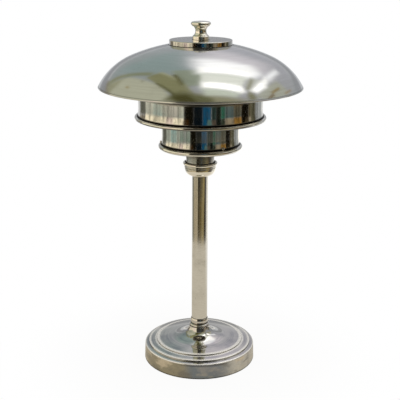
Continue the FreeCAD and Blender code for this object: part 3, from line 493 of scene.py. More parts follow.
class Sheet:
    """The nodes of one material or world, which it adds by type."""

    def __init__(self, tree: bpy.types.NodeTree) -> None:
        """Start on an emptied node tree."""
        tree.nodes.clear()
        self.tree = tree

    def add(self, kind: str, settings: Mapping[str, Any], inputs: Mapping[Any, Any]) -> bpy.types.Node:
        """Add a node: its settings first, and then the values or links of its sockets.

        Args:
            kind: The node's type.
            settings: Its properties by name.
            inputs: Values, readings, sockets or colours by the socket's identifier, name or number.

        Returns:
            The new node.
        """
        node = self.tree.nodes.new(kind)
        for name, value in settings.items():
            setattr(node, name, value)
        for key, value in inputs.items():
            socket = self.socket_of(node.inputs, key)
            if isinstance(value, Reading):
                value = value.socket
            if isinstance(value, bpy.types.NodeSocket):
                self.tree.links.new(value, socket)
            elif isinstance(value, tuple) and socket.type == "RGBA":
                socket.default_value = (*value, 1.0)
            else:
                socket.default_value = value
        return node

    @staticmethod
    def socket_of(sockets: Any, key: Union[str, int]) -> bpy.types.NodeSocket:
        """Find a socket.

        Args:
            sockets: A node's inputs or outputs.
            key: The socket's number, its identifier or its name.

        Returns:
            The socket.
        """
        if isinstance(key, int):
            return sockets[key]
        named = [socket for socket in sockets if key in (socket.identifier, socket.name)]
        return next((socket for socket in named if socket.identifier == key), named[0])

    def number(self, kind: str, settings: Mapping[str, Any], inputs: Mapping[Any, Any]) -> Reading:
        """Add a node and read the first number that it gives."""
        return Reading(self, self.add(kind, settings, inputs).outputs[0])

    def coordinates(self) -> bpy.types.NodeSocket:
        """The piece's own coordinates, in metres."""
        return self.add("ShaderNodeTexCoord", {}, {}).outputs["Object"]

    def rays(self, *names: str) -> tuple[Reading, ...]:
        """Whether the ray is of each of some kinds: 1 or 0 for each.

        Args:
            names: The kinds, as the Light Path node names them.

        Returns:
            A number for each kind.
        """
        outputs = self.add("ShaderNodeLightPath", {}, {}).outputs
        return tuple(Reading(self, self.socket_of(outputs, name)) for name in names)

    def split(self, vector: bpy.types.NodeSocket) -> tuple[Reading, Reading, Reading]:
        """The three numbers of a vector."""
        outputs = self.add("ShaderNodeSeparateXYZ", {}, {0: vector}).outputs
        return Reading(self, outputs[0]), Reading(self, outputs[1]), Reading(self, outputs[2])

    def combined(self, x: Operand, y: Operand, z: Operand) -> bpy.types.NodeSocket:
        """A vector of three numbers."""
        return self.add("ShaderNodeCombineXYZ", {}, {0: x, 1: y, 2: z}).outputs[0]

    def noise(self, vector: bpy.types.NodeSocket, scale: float, detail: float = 2.0) -> Reading:
        """Soft noise about one half, with features about 1 / scale across."""
        inputs = {"Vector": vector, "Scale": scale, "Detail": detail, "Roughness": 0.55}
        return self.number("ShaderNodeTexNoise", {"noise_dimensions": "3D"}, inputs)

    def mixed(self, share: Operand, first: Any, second: Any) -> bpy.types.NodeSocket:
        """Mix two colours.

        Args:
            share: Share of the second colour.
            first: A colour or a socket that gives one.
            second: The other one.

        Returns:
            The socket that gives the mixed colour.
        """
        inputs = {"Factor_Float": share, "A_Color": first, "B_Color": second}
        node = self.add("ShaderNodeMix", {"data_type": "RGBA"}, inputs)
        return self.socket_of(node.outputs, "Result_Color")

    def finish(self, shader: bpy.types.NodeSocket, kind: str = "ShaderNodeOutputMaterial") -> None:
        """Connect the shader to the sheet's output."""
        self.add(kind, {}, {"Surface": shader})

    def finish_relief(self, heights: Reading, strength: float, inputs: Mapping[str, Any]) -> None:
        """Finish with one plain surface that carries a small relief.

        Args:
            heights: The relief, in millimetres.
            strength: Share of the relief that shows.
            inputs: What else the surface has, by the names of its sockets.
        """
        relief = {"Height": heights, "Strength": strength, "Distance": MILLIMETRE}
        bump = self.add("ShaderNodeBump", {}, relief).outputs[0]
        surface = self.add("ShaderNodeBsdfPrincipled", {}, {**inputs, "Normal": bump})
        self.finish(surface.outputs[0])


def new_sheet(name: str) -> tuple[bpy.types.Material, Sheet]:
    """A new material and its empty sheet of nodes.

    Args:
        name: Name of the material.

    Returns:
        The material and its sheet.
    """
    material = bpy.data.materials.new(name)
    material.use_nodes = True
    return material, Sheet(material.node_tree)


class LathePlace:
    """Where a point lies on a turned piece: its coordinates, its radius and its way along the section."""

    AXIS = 1e-5
    HEIGHT_SHARE = 1.7

    def __init__(self, sheet: Sheet) -> None:
        """Read the piece's coordinates.

        Args:
            sheet: The sheet of nodes to add them to.
        """
        self.sheet = sheet
        self.spot = sheet.coordinates()
        self.x, self.y, self.z = sheet.split(self.spot)
        self.radius = (self.x * self.x + self.y * self.y).root().greater(self.AXIS)
        self.height = self.z / MILLIMETRE
        self.along = self.radius + self.z * self.HEIGHT_SHARE

    def rings(self, across: float, around: float, detail: float) -> Reading:
        """Noise of (r + 1.7 z, cos a, sin a), so that it runs round the axis in rings.

        Args:
            across: How fast it changes from ring to ring, per metre.
            around: How fast it changes round the axis.
            detail: Depth of its detail.

        Returns:
            The noise, about one half.
        """
        turn_x, turn_y = self.x / self.radius * around, self.y / self.radius * around
        return self.sheet.noise(self.sheet.combined(self.along * across, turn_x, turn_y), 1.0, detail)


FINE_LINES = (2600.0, 3.0, 3.0)
BROAD_LINES = (420.0, 1.2, 2.0)
SMOKE_LINES = (500.0, 1.5, 3.0)
SPECK_NOISE = (420.0, 2.0)


@dataclass(frozen=True)
class Crevice:
    """Band of painted shade in a crease or under an overhang of a turned piece, at a height above its foot,
    between two radii, in millimetres.
    """

    EDGE = 0.4

    height: float
    reach: float
    inner: float = 0.0
    outer: float = 1000.0
    depth: float = 1.0

    def band(self, place: LathePlace, foot: float) -> Reading:
        """Share of painted shade that the crevice gives.

        Args:
            place: Where the point lies.
            foot: Height of the piece's foot, in millimetres.

        Returns:
            The crevice's depth at its height, and 0 past its reach and outside its radii.
        """
        inside = place.radius.between((self.inner - self.EDGE) * MILLIMETRE, self.inner * MILLIMETRE)
        within = place.radius.between((self.outer + self.EDGE) * MILLIMETRE, self.outer * MILLIMETRE)
        level = place.z.near((foot + self.height) * MILLIMETRE, self.reach * MILLIMETRE)
        return level * inside * within * self.depth


@dataclass(frozen=True)
class TurnedMetal:
    """Aged plated metal, polished on a lathe: rings of fine lines, tarnish clouds, dark specks, and painted
    shade in its crevices and under an overhang.
    """

    name: str
    colour: Colour = shade_of("d8d4cc")
    tarnish: Colour = shade_of("8d8676")
    cloud: Colour = shade_of("9aa5ad")
    # Colour of the dark specks and of the painted shade in the crevices and under an overhang.
    dirt_and_shade: Colour = shade_of("14110d")
    roughness: float = 0.14
    least_roughness: float = 0.04
    roughness_spread: float = 0.10
    rough_share: float = 0.35
    tarnish_share: float = 0.30
    tarnish_scale: float = 22.0
    tint_scale: float = 0.45
    tint: Span = (0.52, 0.72)
    stain: Span = (0.50, 0.74)
    rings: Span = (0.35, 0.75)
    ring_share: float = 0.10
    specks: Span = (0.66, 0.76)
    speck_clouds: Span = (0.45, 0.60)
    speck_share: float = 0.5
    line_depth: float = 0.012
    dent_depth: float = 0.02
    relief_share: float = 0.35
    foot: float = 0.0
    crevices: tuple[Crevice, ...] = ()
    # Painted shade on the part that lies under an overhang: it rises to full at this level and fades out
    # higher up.
    overhang_shade_level: Union[float, None] = None
    overhang_shade_rise: float = 5.0
    overhang_shade_fade: Span = (24.0, 2.0)
    overhang_shade_share: float = 0.92

    def material(self) -> bpy.types.Material:
        """Build the finish: its colour clouded, darkened by specks and by painted shade, and rougher where
        it is stained or darkened.

        Returns:
            The material.
        """
        material, sheet = new_sheet(self.name)
        place = LathePlace(sheet)
        fine = place.rings(*FINE_LINES)
        broad = place.rings(*BROAD_LINES)
        clouds = sheet.noise(place.spot, self.tarnish_scale, 5.0)
        tint = sheet.noise(place.spot, self.tarnish_scale * self.tint_scale, 3.0).between(*self.tint)
        stain = clouds.between(*self.stain) * self.tarnish_share
        base = sheet.mixed(tint * self.tarnish_share, self.colour, self.cloud)
        base = sheet.mixed(stain, base, self.tarnish)
        base = sheet.mixed(broad.between(*self.rings) * self.ring_share, base, self.tarnish)
        grime_and_shade = self.grime_and_shade(place, clouds)
        uneven = (fine - 0.5 + broad - 0.5) * self.roughness_spread
        rough = uneven + self.roughness + (stain + grime_and_shade) * self.rough_share
        metal = {
            "Base Color": sheet.mixed(grime_and_shade, base, self.dirt_and_shade),
            "Metallic": 1.0,
            "Roughness": rough.worked("MAXIMUM", self.least_roughness, clamped=True),
        }
        sheet.finish_relief(fine * self.line_depth + clouds * self.dent_depth, self.relief_share, metal)
        return material

    def grime_and_shade(self, place: LathePlace, clouds: Reading) -> Reading:
        """Share of the dark colour: specks in the cloudy parts, painted shade in the crevices, and painted
        shade under an overhang that fades upwards.

        Args:
            place: Where the point lies.
            clouds: The clouds of tarnish.

        Returns:
            The share.
        """
        specks = place.sheet.noise(place.spot, *SPECK_NOISE).between(*self.specks) * self.speck_share
        grime_and_shade = specks * clouds.between(*self.speck_clouds)
        for line in self.crevices:
            grime_and_shade = grime_and_shade.greater(line.band(place, self.foot))
        if self.overhang_shade_level is None:
            return grime_and_shade
        # Painted shade under the overhang: rising to full at its level, fading out higher up.
        overhang_shade = place.height.between(self.overhang_shade_level - self.overhang_shade_rise, self.overhang_shade_level)
        unshaded, shaded = (self.overhang_shade_level + rise for rise in self.overhang_shade_fade)
        return grime_and_shade.greater(overhang_shade * place.height.between(unshaded, shaded) * self.overhang_shade_share)


class Grain(Enum):
    """How the small relief of a plain finish runs."""

    CAST = 380.0
    MOULDED = 900.0
    GLAZED = 60.0
    WOOLLY = 1400.0
    BRIGHT = 160.0


@dataclass(frozen=True)
class PlainFinish:
    """Finish of a piece that is not turned: a colour with mottling, small relief and worn spots."""

    name: str
    colour: Colour
    mottle: Colour
    grain: Grain
    metallic: float = 0.0
    roughness: float = 0.5
    least_roughness: float = 0.05
    relief: float = 0.05
    relief_share: float = 0.5
    sheen: float = 0.0
    clouds: Span = (0.35, 0.75)
    cloud_scale: float = 45.0
    cloud_share: float = 0.6
    spots: Span = (0.62, 0.74)
    spot_scale: float = 0.3
    spot_share: float = 0.4
    grain_roughness: float = 0.25
    spot_roughness: float = 0.1

    def material(self) -> bpy.types.Material:
        """Build the finish.

        Returns:
            The material.
        """
        material, sheet = new_sheet(self.name)
        place = sheet.coordinates()
        clouds = sheet.noise(place, self.cloud_scale, 5.0)
        grain = sheet.noise(place, self.grain.value, 4.0)
        spots = sheet.noise(place, self.grain.value * self.spot_scale, 2.0).between(*self.spots)
        share = clouds.between(*self.clouds) * self.cloud_share + spots * self.spot_share
        uneven = (grain - 0.5) * self.grain_roughness + (clouds + spots) * self.spot_roughness
        rough = uneven + self.roughness
        surface = {
            "Base Color": sheet.mixed(share, self.colour, self.mottle),
            "Metallic": self.metallic,
            "Roughness": rough.worked("MAXIMUM", self.least_roughness, clamped=True),
            "Sheen Weight": self.sheen,
        }
        sheet.finish_relief((grain + spots) * self.relief, self.relief_share, surface)
        return material


@dataclass(frozen=True)
class FrostedGlass:
    """Glass with an etched, milky inside: it glows softly with what falls on it."""

    name: str = "frosted_glass"
    colour: Colour = shade_of("f0eee8")
    shadow: Colour = shade_of("d5d2ca")
    frost_depth: float = 0.05
    frost_scale: float = 1600.0
    relief_share: float = 0.2
    roughness: Span = (0.28, 0.48)
    clouds: Span = (0.35, 0.70)
    cloud_scale: float = 60.0
    clearness: float = 0.35
    bending: float = 1.5

    def material(self) -> bpy.types.Material:
        """Build the finish.

        Returns:
            The material.
        """
        material, sheet = new_sheet(self.name)
        place = sheet.coordinates()
        frost = sheet.noise(place, self.frost_scale, 3.0)
        clouds = sheet.noise(place, self.cloud_scale, 3.0).between(*self.clouds)
        smooth, coarse = self.roughness
        surface = {
            "Base Color": sheet.mixed(clouds, self.colour, self.shadow),
            "Roughness": frost * (coarse - smooth) + smooth,
            "Transmission Weight": self.clearness,
            "IOR": self.bending,
        }
        sheet.finish_relief(frost * self.frost_depth, self.relief_share, surface)
        return material


def plain(name: str, colour: str, mottle: str, grain: Grain, roughness: float, **more: float) -> PlainFinish:
    """A plain finish by the codes of its two colours.

    Args:
        name: Name of its material.
        colour: Code of its colour.
        mottle: Code of the colour of its mottling.
        grain: How its small relief runs.
        roughness: Its roughness.
        more: Other values of the finish by name.

    Returns:
        The finish.
    """
    return PlainFinish(name, shade_of(colour), shade_of(mottle), grain, roughness=roughness, **more)


STEEL = plain("plated_steel", "b9b6ae", "8c877c", Grain.BRIGHT, 0.28, metallic=1.0)
SCREW_NICKEL = plain("bright_nickel", "d6d2c9", "9a9383", Grain.BRIGHT, 0.14, metallic=1.0)
CAP_METAL = plain("bulb_cap", "c4c4c2", "9a9996", Grain.BRIGHT, 0.24, metallic=1.0)
FINISHES: dict[str, PlainFinish] = {
    "felt": plain("felt", "2c3a2f", "202a23", Grain.WOOLLY, 0.95, relief=0.5, sheen=0.4),
    "weight": plain("cast_weight", "3a3834", "54483c", Grain.CAST, 0.62, relief=0.4, metallic=0.6),
    "moulded_black": plain("moulded_black", "1b1a19", "262422", Grain.MOULDED, 0.42),
    "moulded_white": plain("glazed_white", "e9e5da", "d9d3c4", Grain.GLAZED, 0.22),
    "brass": plain("brass", "b8933f", "8a6a2a", Grain.BRIGHT, 0.25, metallic=1.0),
}


def dress(thing: bpy.types.Object, material: bpy.types.Material) -> None:
    """Give every slot of a piece one material.

    Args:
        thing: The piece.
        material: What it is to be made of.
    """
    if not thing.data.materials:
        thing.data.materials.append(material)
    for index in range(len(thing.data.materials)):
        thing.data.materials[index] = material


# ------------------------------------------------------------------------------------ the lamp


PIPE_HOLE = 5.3
SOFT_EDGE = 0.3
CRISP_EDGE = 0.2


@dataclass
class Foot:
    """Weighted base: a cast cover with two steps and a trumpet that runs up to the stem."""

    segments: int = 320
    foot: float = 0.2
    foot_rounding: Point = (0.4, 0.6)
    wall: float = 3.0
    radius: float = 86.6
    edge: Point = (85.7, 24.4)
    edge_rounding: float = 2.2
    middle: Point = (79.3, 28.04)
    middle_rounding: float = 1.3
    inner: Point = (66.9, 31.67)
    inner_rounding: float = 0.9
    inner_land: float = 2.2
    ledge_slope: float = 0.14
    riser_lean: Point = (0.5, 0.4)
    riser_rounding: Point = (0.5, 0.45)
    riser_sink: float = 0.1
    trumpet: tuple[Bend, ...] = (
        Bend(42.0, 33.87, 0.0236, 12),
        Bend(24.0, 40.2, -0.1069),
        Bend(15.5, 51.87, -0.197, 28),
    )
    hollow_top: float = 20.0
    inlet_height: float = 9.0
    inlet_radius: float = 4.6
    cutter_reach: float = 8.0
    cutter_inset: float = 2.0

    def section(self) -> FloatArray:
        """Half section of the cover, from the foot up the side, over the steps and back inside.

        Returns:
            Radius and height of each point, in metres.
        """
        inside = self.radius - self.wall
        outline = HalfSection(inside, self.foot, self.foot_rounding[0])
        outline.to(self.radius, self.foot, self.foot_rounding[1]).to(*self.edge, self.edge_rounding)
        first = self.edge[1] + self.ledge_slope * (self.edge[0] - self.middle[0])
        outline.to(self.middle[0] + self.riser_lean[0], first, self.riser_rounding[0])
        outline.to(*self.middle, self.middle_rounding)
        second = self.middle[1] + self.ledge_slope * (self.middle[0] - self.inner[0]) - self.riser_sink
        outline.to(self.inner[0] + self.riser_lean[1], second, self.riser_rounding[1])
        outline.to(*self.inner, self.inner_rounding).to(self.inner[0] - self.inner_land, self.inner[1])
        for bend in self.trumpet:
            outline.arc(*bend)
        outline.to(PIPE_HOLE, self.trumpet[-1].height).to(PIPE_HOLE, self.hollow_top)
        return outline.to(inside, self.hollow_top, 1.0).points()

    def build(self) -> None:
        """Make the cover, with its hole for the cable bush at the back."""
        cover = built("base_cover", turned(self.section(), self.segments), BODY_STAND, "base_shell")
        radius, reach = self.inlet_radius, self.cutter_reach
        bore = HalfSection(0, -reach).to(radius, -reach).to(radius, reach).to(0, reach)
        backward = np.array([[1.0, 0, 0], [0, 0, 1.0], [0, -1.0, 0]])
        place = (0, (self.radius - self.cutter_inset) * MILLIMETRE, self.inlet_height * MILLIMETRE)
        holed(cover, turned(bore.points(), 48).moved(backward, place))
        dress(cover, FootMetal().material())


@dataclass(frozen=True)
class Line:
    """Line round the base at one height, in millimetres: a painted highlight on a rim or painted shade on an
    upright face.
    """

    height: float
    reach: float
    share: float = 1.0

    def band(self, place: LathePlace) -> Reading:
        """The line's share at its height, falling to 0 at its reach."""
        return place.height.near(self.height, self.reach) * self.share


@dataclass(frozen=True)
class FootMetal:
    """Finish of the base: painted highlights on the rims of the steps, smoky ledges, a side wall painted
    with reflections in patches, and painted shade on the steps' upright faces and under the outer rim.
    """

    name: str = "base_nickel"
    colour: Colour = shade_of("dfdbd2")
    smoke: Colour = shade_of("92939b")
    # Painted reflections on the side wall, olive at the left, slate in the middle and pale at the right,
    # broken by beige and darker patches.
    olive: Colour = shade_of("a2997f")
    slate: Colour = shade_of("78828c")
    pale: Colour = shade_of("d9d6ce")
    beige: Colour = shade_of("e6d6ba")
    # Colour of the painted highlights on the rims of the steps.
    highlight_cream: Colour = shade_of("fbf7ee")
    shade: Colour = shade_of("746f66")
    dirt_and_shade: Colour = shade_of("171410")
    side_top: float = 22.6
    side_share: float = 0.86
    slate_starts: Span = (-30.0, -8.0)
    pale_starts: Span = (24.0, 60.0)
    front_starts: Span = (0.0, -20.0)
    rear_starts: Span = (-8.0, 22.0)
    middle: Point = (6.0, 52.0)
    darkest: Point = (1.0, 36.0)
    dark_shares: Span = (0.3, 0.9)
    cloud_scale: float = 34.0
    patch_scale: Point = (2.4, 60.0)
    side_fade: Span = (0.6, -0.4)
    beige_patches: Span = (0.52, 0.66)
    beige_shares: Point = (0.85, 0.5)
    shade_patches: Span = (0.50, 0.34)
    shade_share: float = 0.75
    wall_clouds: Span = (0.48, 0.72)
    wall_smoke: float = 0.5
    ledge_clouds: Span = (0.30, 0.75)
    ledge_smoke: Point = (0.6, 0.45)
    ledge_rings: Span = (0.42, 0.66)
    ring_shares: Point = (0.5, 0.35)
    # Darker towards the table.
    foot_darkening: Span = (3.2, 1.2)
    foot_share: float = 0.6
    specks: Span = (0.66, 0.78)
    speck_share: float = 0.5
    # Painted highlights on the rims of the steps: a pale colour, made less metallic so that the soft lamp
    # lights it.
    edge_highlight_share: float = 0.85
    edge_dullness: float = 0.7
    edge_highlights: tuple[Line, ...] = (Line(24.0, 0.9), Line(27.9, 0.8), Line(31.5, 0.7), Line(29.5, 0.36, 0.85))
    # Painted shade on the steps' upright faces, darkest in the middle of the front, and under the outer rim.
    riser_shade: tuple[Line, ...] = (Line(26.4, 1.3), Line(30.5, 1.0))
    under_edge_shade: Line = Line(21.6, 1.8, 0.4)
    roughness: float = 0.04
    least_roughness: float = 0.05
    side_roughness: float = 0.14
    cloud_roughness: float = 0.06
    line_roughness: float = 0.07
    dirt_roughness: float = 0.3
    line_depth: float = 0.012
    dent_depth: float = 0.03
    patch_depth: float = 0.02
    relief_share: float = 0.4

    def material(self) -> bpy.types.Material:
        """Build the finish: painted reflections on the side wall, smoke on the ledges, painted highlights on
        the rims over both, and painted shade on the upright faces and under the outer rim.

        Returns:
            The material.
        """
        material, sheet = new_sheet(self.name)
        place = LathePlace(sheet)
        fine = place.rings(*FINE_LINES)
        clouds = sheet.noise(place.spot, self.cloud_scale, 5.0)
        around, up = self.patch_scale
        turn_x, turn_y = place.x / place.radius * around, place.y / place.radius * around
        patches = sheet.noise(sheet.combined(turn_x, turn_y, place.z * up), 1.0, 5.0)
        side = place.height.between(*(self.side_top + fade for fade in self.side_fade))
        across, front = place.x / MILLIMETRE, (place.y / MILLIMETRE).between(*self.front_starts)
        # Middle of the front, where the painted reflection is darkest and the painted shade under the outer
        # rim lies.
        middle = across.near(*self.middle) * front
        ledge, wall = self.ledge(place, clouds), self.wall(place, middle, patches, clouds)
        base = sheet.mixed(side * self.side_share, ledge, wall)
        # Painted highlights on the rims of the steps.
        edge_highlights = self.edge_highlights[0].band(place)
        for line in self.edge_highlights[1:]:
            edge_highlights = edge_highlights.greater(line.band(place))
        base = sheet.mixed(edge_highlights * self.edge_highlight_share, base, self.highlight_cream)
        # Painted shade on the upright faces, darkest in the middle of the front.
        least, most = self.dark_shares
        dark = across.near(*self.darkest) * front * (most - least) + least
        # Darker towards the table.
        grime_and_shade = place.height.between(*self.foot_darkening) * self.foot_share
        for riser in self.riser_shade:
            grime_and_shade = grime_and_shade.greater(riser.band(place) * dark)
        # Painted shade under the outer rim, in the middle of the front.
        grime_and_shade = grime_and_shade.greater(self.under_edge_shade.band(place) * middle)
        specks = sheet.noise(place.spot, *SPECK_NOISE).between(*self.specks)
        grime_and_shade = grime_and_shade.greater(specks * side * self.speck_share)
        rough = side * self.side_roughness + self.roughness + clouds * self.cloud_roughness
        rough = rough + (fine - 0.5) * self.line_roughness + grime_and_shade * self.dirt_roughness
        metal = {
            "Base Color": sheet.mixed(grime_and_shade, base, self.dirt_and_shade),
            "Metallic": 1 - edge_highlights * self.edge_dullness,
            "Roughness": rough.worked("MAXIMUM", self.least_roughness, clamped=True),
        }
        heights = fine * self.line_depth + clouds * self.dent_depth + patches * side * self.patch_depth
        sheet.finish_relief(heights, self.relief_share, metal)
        return material

    def wall(
        self, place: LathePlace, middle: Reading, patches: Reading, clouds: Reading
    ) -> bpy.types.NodeSocket:
        """Colour of the side wall, a painted reflection: olive at the left, slate in the middle, pale at the
        right, in patches.

        Args:
            place: Where the point lies.
            middle: Share that lies in the middle of the front.
            patches: Noise of the large patches.
            clouds: Noise of the small clouds.

        Returns:
            The socket that gives the colour.
        """
        sheet, across = place.sheet, place.x / MILLIMETRE
        wall = sheet.mixed(across.between(*self.slate_starts), self.olive, self.slate)
        wall = sheet.mixed(across.between(*self.pale_starts), wall, self.pale)
        most, loss = self.beige_shares
        beige = patches.between(*self.beige_patches) * (most - middle * loss)
        wall = sheet.mixed(beige, wall, self.beige)
        wall = sheet.mixed(patches.between(*self.shade_patches) * self.shade_share, wall, self.shade)
        return sheet.mixed(clouds.between(*self.wall_clouds) * self.wall_smoke, wall, self.smoke)

    def ledge(self, place: LathePlace, clouds: Reading) -> bpy.types.NodeSocket:
        """Colour of the ledges and the trumpet: smoke in clouds and rings, thinner at the rear.

        Args:
            place: Where the point lies.
            clouds: Noise of the small clouds.

        Returns:
            The socket that gives the colour.
        """
        rear = (place.y / MILLIMETRE).between(*self.rear_starts)
        most, loss = self.ledge_smoke
        clouded = clouds.between(*self.ledge_clouds) * (most - rear * loss)
        smoky = place.sheet.mixed(clouded, self.colour, self.smoke)
        most, loss = self.ring_shares
        rings = place.rings(*SMOKE_LINES).between(*self.ledge_rings) * (most - rear * loss)
        return place.sheet.mixed(rings, smoky, self.smoke)


@dataclass
class Column:
    """Stem: a turned collar, the tube, the neck cup with its heavy bead and the lampholder's sleeve.

    Heights are above the table, but those of the bends, the grooves, the bowl's edge, the band and
    the painted shade are above the foot of their own piece.
    """

    segments: int = 192
    sheet: float = 1.0
    collar: Point = (51.87, 65.07)
    collar_foot: float = 14.3
    collar_ring: Bend = Bend(14.2, 3.9, 0.62)
    collar_groove: tuple[float, float, float] = (13.2, 4.3, 5.1)
    collar_waist: Bend = Bend(13.9, 8.3, 0.20)
    collar_bead: Bend = Bend(12.65, 13.2, 0.14)
    tube: Point = (56.87, 299.87)
    tube_radius: float = 12.2
    socket: Point = (12.3, 12.4)
    neck_bottom: float = 297.4
    neck_floor: float = 308.87
    neck_foot: float = 16.6
    bowl: Bend = Bend(23.6, 10.2, 0.30, 24)
    bowl_edge: float = 11.9
    neck_groove: Point = (22.7, 12.4)
    band: Point = (24.2, 12.9)
    bead: Point = (24.75, 316.1)
    bead_section: float = 2.65
    bead_drop: float = 0.98
    bead_bulge: float = 1.9
    sleeve: Point = (308.87, 343.87)
    sleeve_radius: float = 21.4
    # Painted shade in the creases and where pieces meet: the collar's groove, foot and top; the tube's ends;
    # the neck's groove, the crease under its bead and the hollow inside it; the sleeve where it leaves the
    # bead, and its top in the shadow of the lower drum.
    collar_painted_shade: tuple[Crevice, ...] = (
        Crevice(4.6, 0.75, depth=0.95),
        Crevice(0.1, 0.5),
        Crevice(13.2, 0.35, depth=0.6),
    )
    tube_painted_shade: tuple[Crevice, ...] = (Crevice(8.33, 0.7, depth=0.8), Crevice(239.33, 0.6, depth=0.8))
    neck_painted_shade: tuple[Crevice, ...] = (
        Crevice(12.4, 0.5, depth=0.9),
        Crevice(16.05, 0.5, depth=0.8),
        Crevice(18.9, 2.2, outer=23.0, depth=0.95),
    )
    sleeve_painted_shade: tuple[Crevice, ...] = (Crevice(7.63, 2.4, depth=0.95), Crevice(33.13, 22.0, depth=0.98))

    def build_collar(self) -> None:
        """Make the collar: a round ring, a waist and a soft bead."""
        low, high = self.collar
        groove, groove_low, groove_high = self.collar_groove
        outline = HalfSection(PIPE_HOLE, low).to(self.collar_foot, low).arc(*self.collar_ring.raised(low))
        outline.to(groove, low + groove_low, SOFT_EDGE).to(groove, low + groove_high, SOFT_EDGE)
        outline.arc(*self.collar_waist.raised(low)).arc(*self.collar_bead.raised(low))
        outline.to(self.socket[0], high).to(self.socket[0], self.tube[0]).to(PIPE_HOLE, self.tube[0])
        piece = built("stem_ring", turned(outline.points(), self.segments), BODY_STAND, "stem_collar")
        metal = TurnedMetal(
            "collar_nickel", foot=low, crevices=self.collar_painted_shade, roughness=0.10, tarnish_share=0.25
        )
        dress(piece, metal.material())

    def build_tube(self) -> None:
        """Make the plain tube."""
        low, high = self.tube
        inner = self.tube_radius - self.sheet
        outline = HalfSection(inner, low).to(self.tube_radius, low)
        outline.to(self.tube_radius, high).to(inner, high)
        piece = built("stem_pipe", turned(outline.points(), self.segments), BODY_STAND, "stem_tube")
        metal = TurnedMetal(
            "stem_nickel",
            colour=shade_of("e3dfd5"),
            roughness=0.10,
            roughness_spread=0.06,
            foot=low,
            crevices=self.tube_painted_shade,
        )
        dress(piece, metal.material())

    def build_neck(self) -> None:
        """Make the neck cup: a rounded bowl, a groove, a band and a round bead."""
        low, socket = self.neck_bottom, self.socket[1]
        bead, middle = self.bead
        inside = bead - self.bead_section
        outline = HalfSection(socket, low).to(self.neck_foot, low, 0.5)
        outline.arc(*self.bowl.raised(low)).to(self.bowl.radius, low + self.bowl_edge, SOFT_EDGE)
        outline.to(self.neck_groove[0], low + self.neck_groove[1], CRISP_EDGE)
        outline.to(self.band[0], low + self.band[1], SOFT_EDGE)
        outline.to(self.band[0], middle - self.bead_section * self.bead_drop, CRISP_EDGE)
        outline.arc(inside, middle, self.bead_bulge, 40).to(inside, self.neck_floor)
        outline.to(PIPE_HOLE, self.neck_floor)
        outline.to(PIPE_HOLE, self.tube[1]).to(socket, self.tube[1])
        piece = built("neck_bowl", turned(outline.points(), self.segments), BODY_STAND, "neck_cup")
        metal = TurnedMetal(
            "neck_nickel",
            # A lighter nickel than on the other pieces: a lit copy of the same plating, painted highlight.
            colour=shade_of("faf4e6"),
            roughness=0.08,
            tarnish_share=0.12,
            foot=low,
            crevices=self.neck_painted_shade,
        )
        dress(piece, metal.material())

    def build_sleeve(self) -> None:
        """Make the lampholder's sleeve."""
        low, high = self.sleeve
        inner = self.sleeve_radius - self.sheet
        outline = HalfSection(inner, low).to(self.sleeve_radius, low)
        outline.to(self.sleeve_radius, high, SOFT_EDGE).to(inner, high, SOFT_EDGE)
        piece = built("holder_tube", turned(outline.points(), self.segments), BODY_STAND, "holder_sleeve")
        metal = TurnedMetal("sleeve_nickel", foot=low, crevices=self.sleeve_painted_shade, roughness=0.12)
        dress(piece, metal.material())

    def build(self) -> None:
        """Make all four pieces."""
        self.build_collar()
        self.build_tube()
        self.build_neck()
        self.build_sleeve()


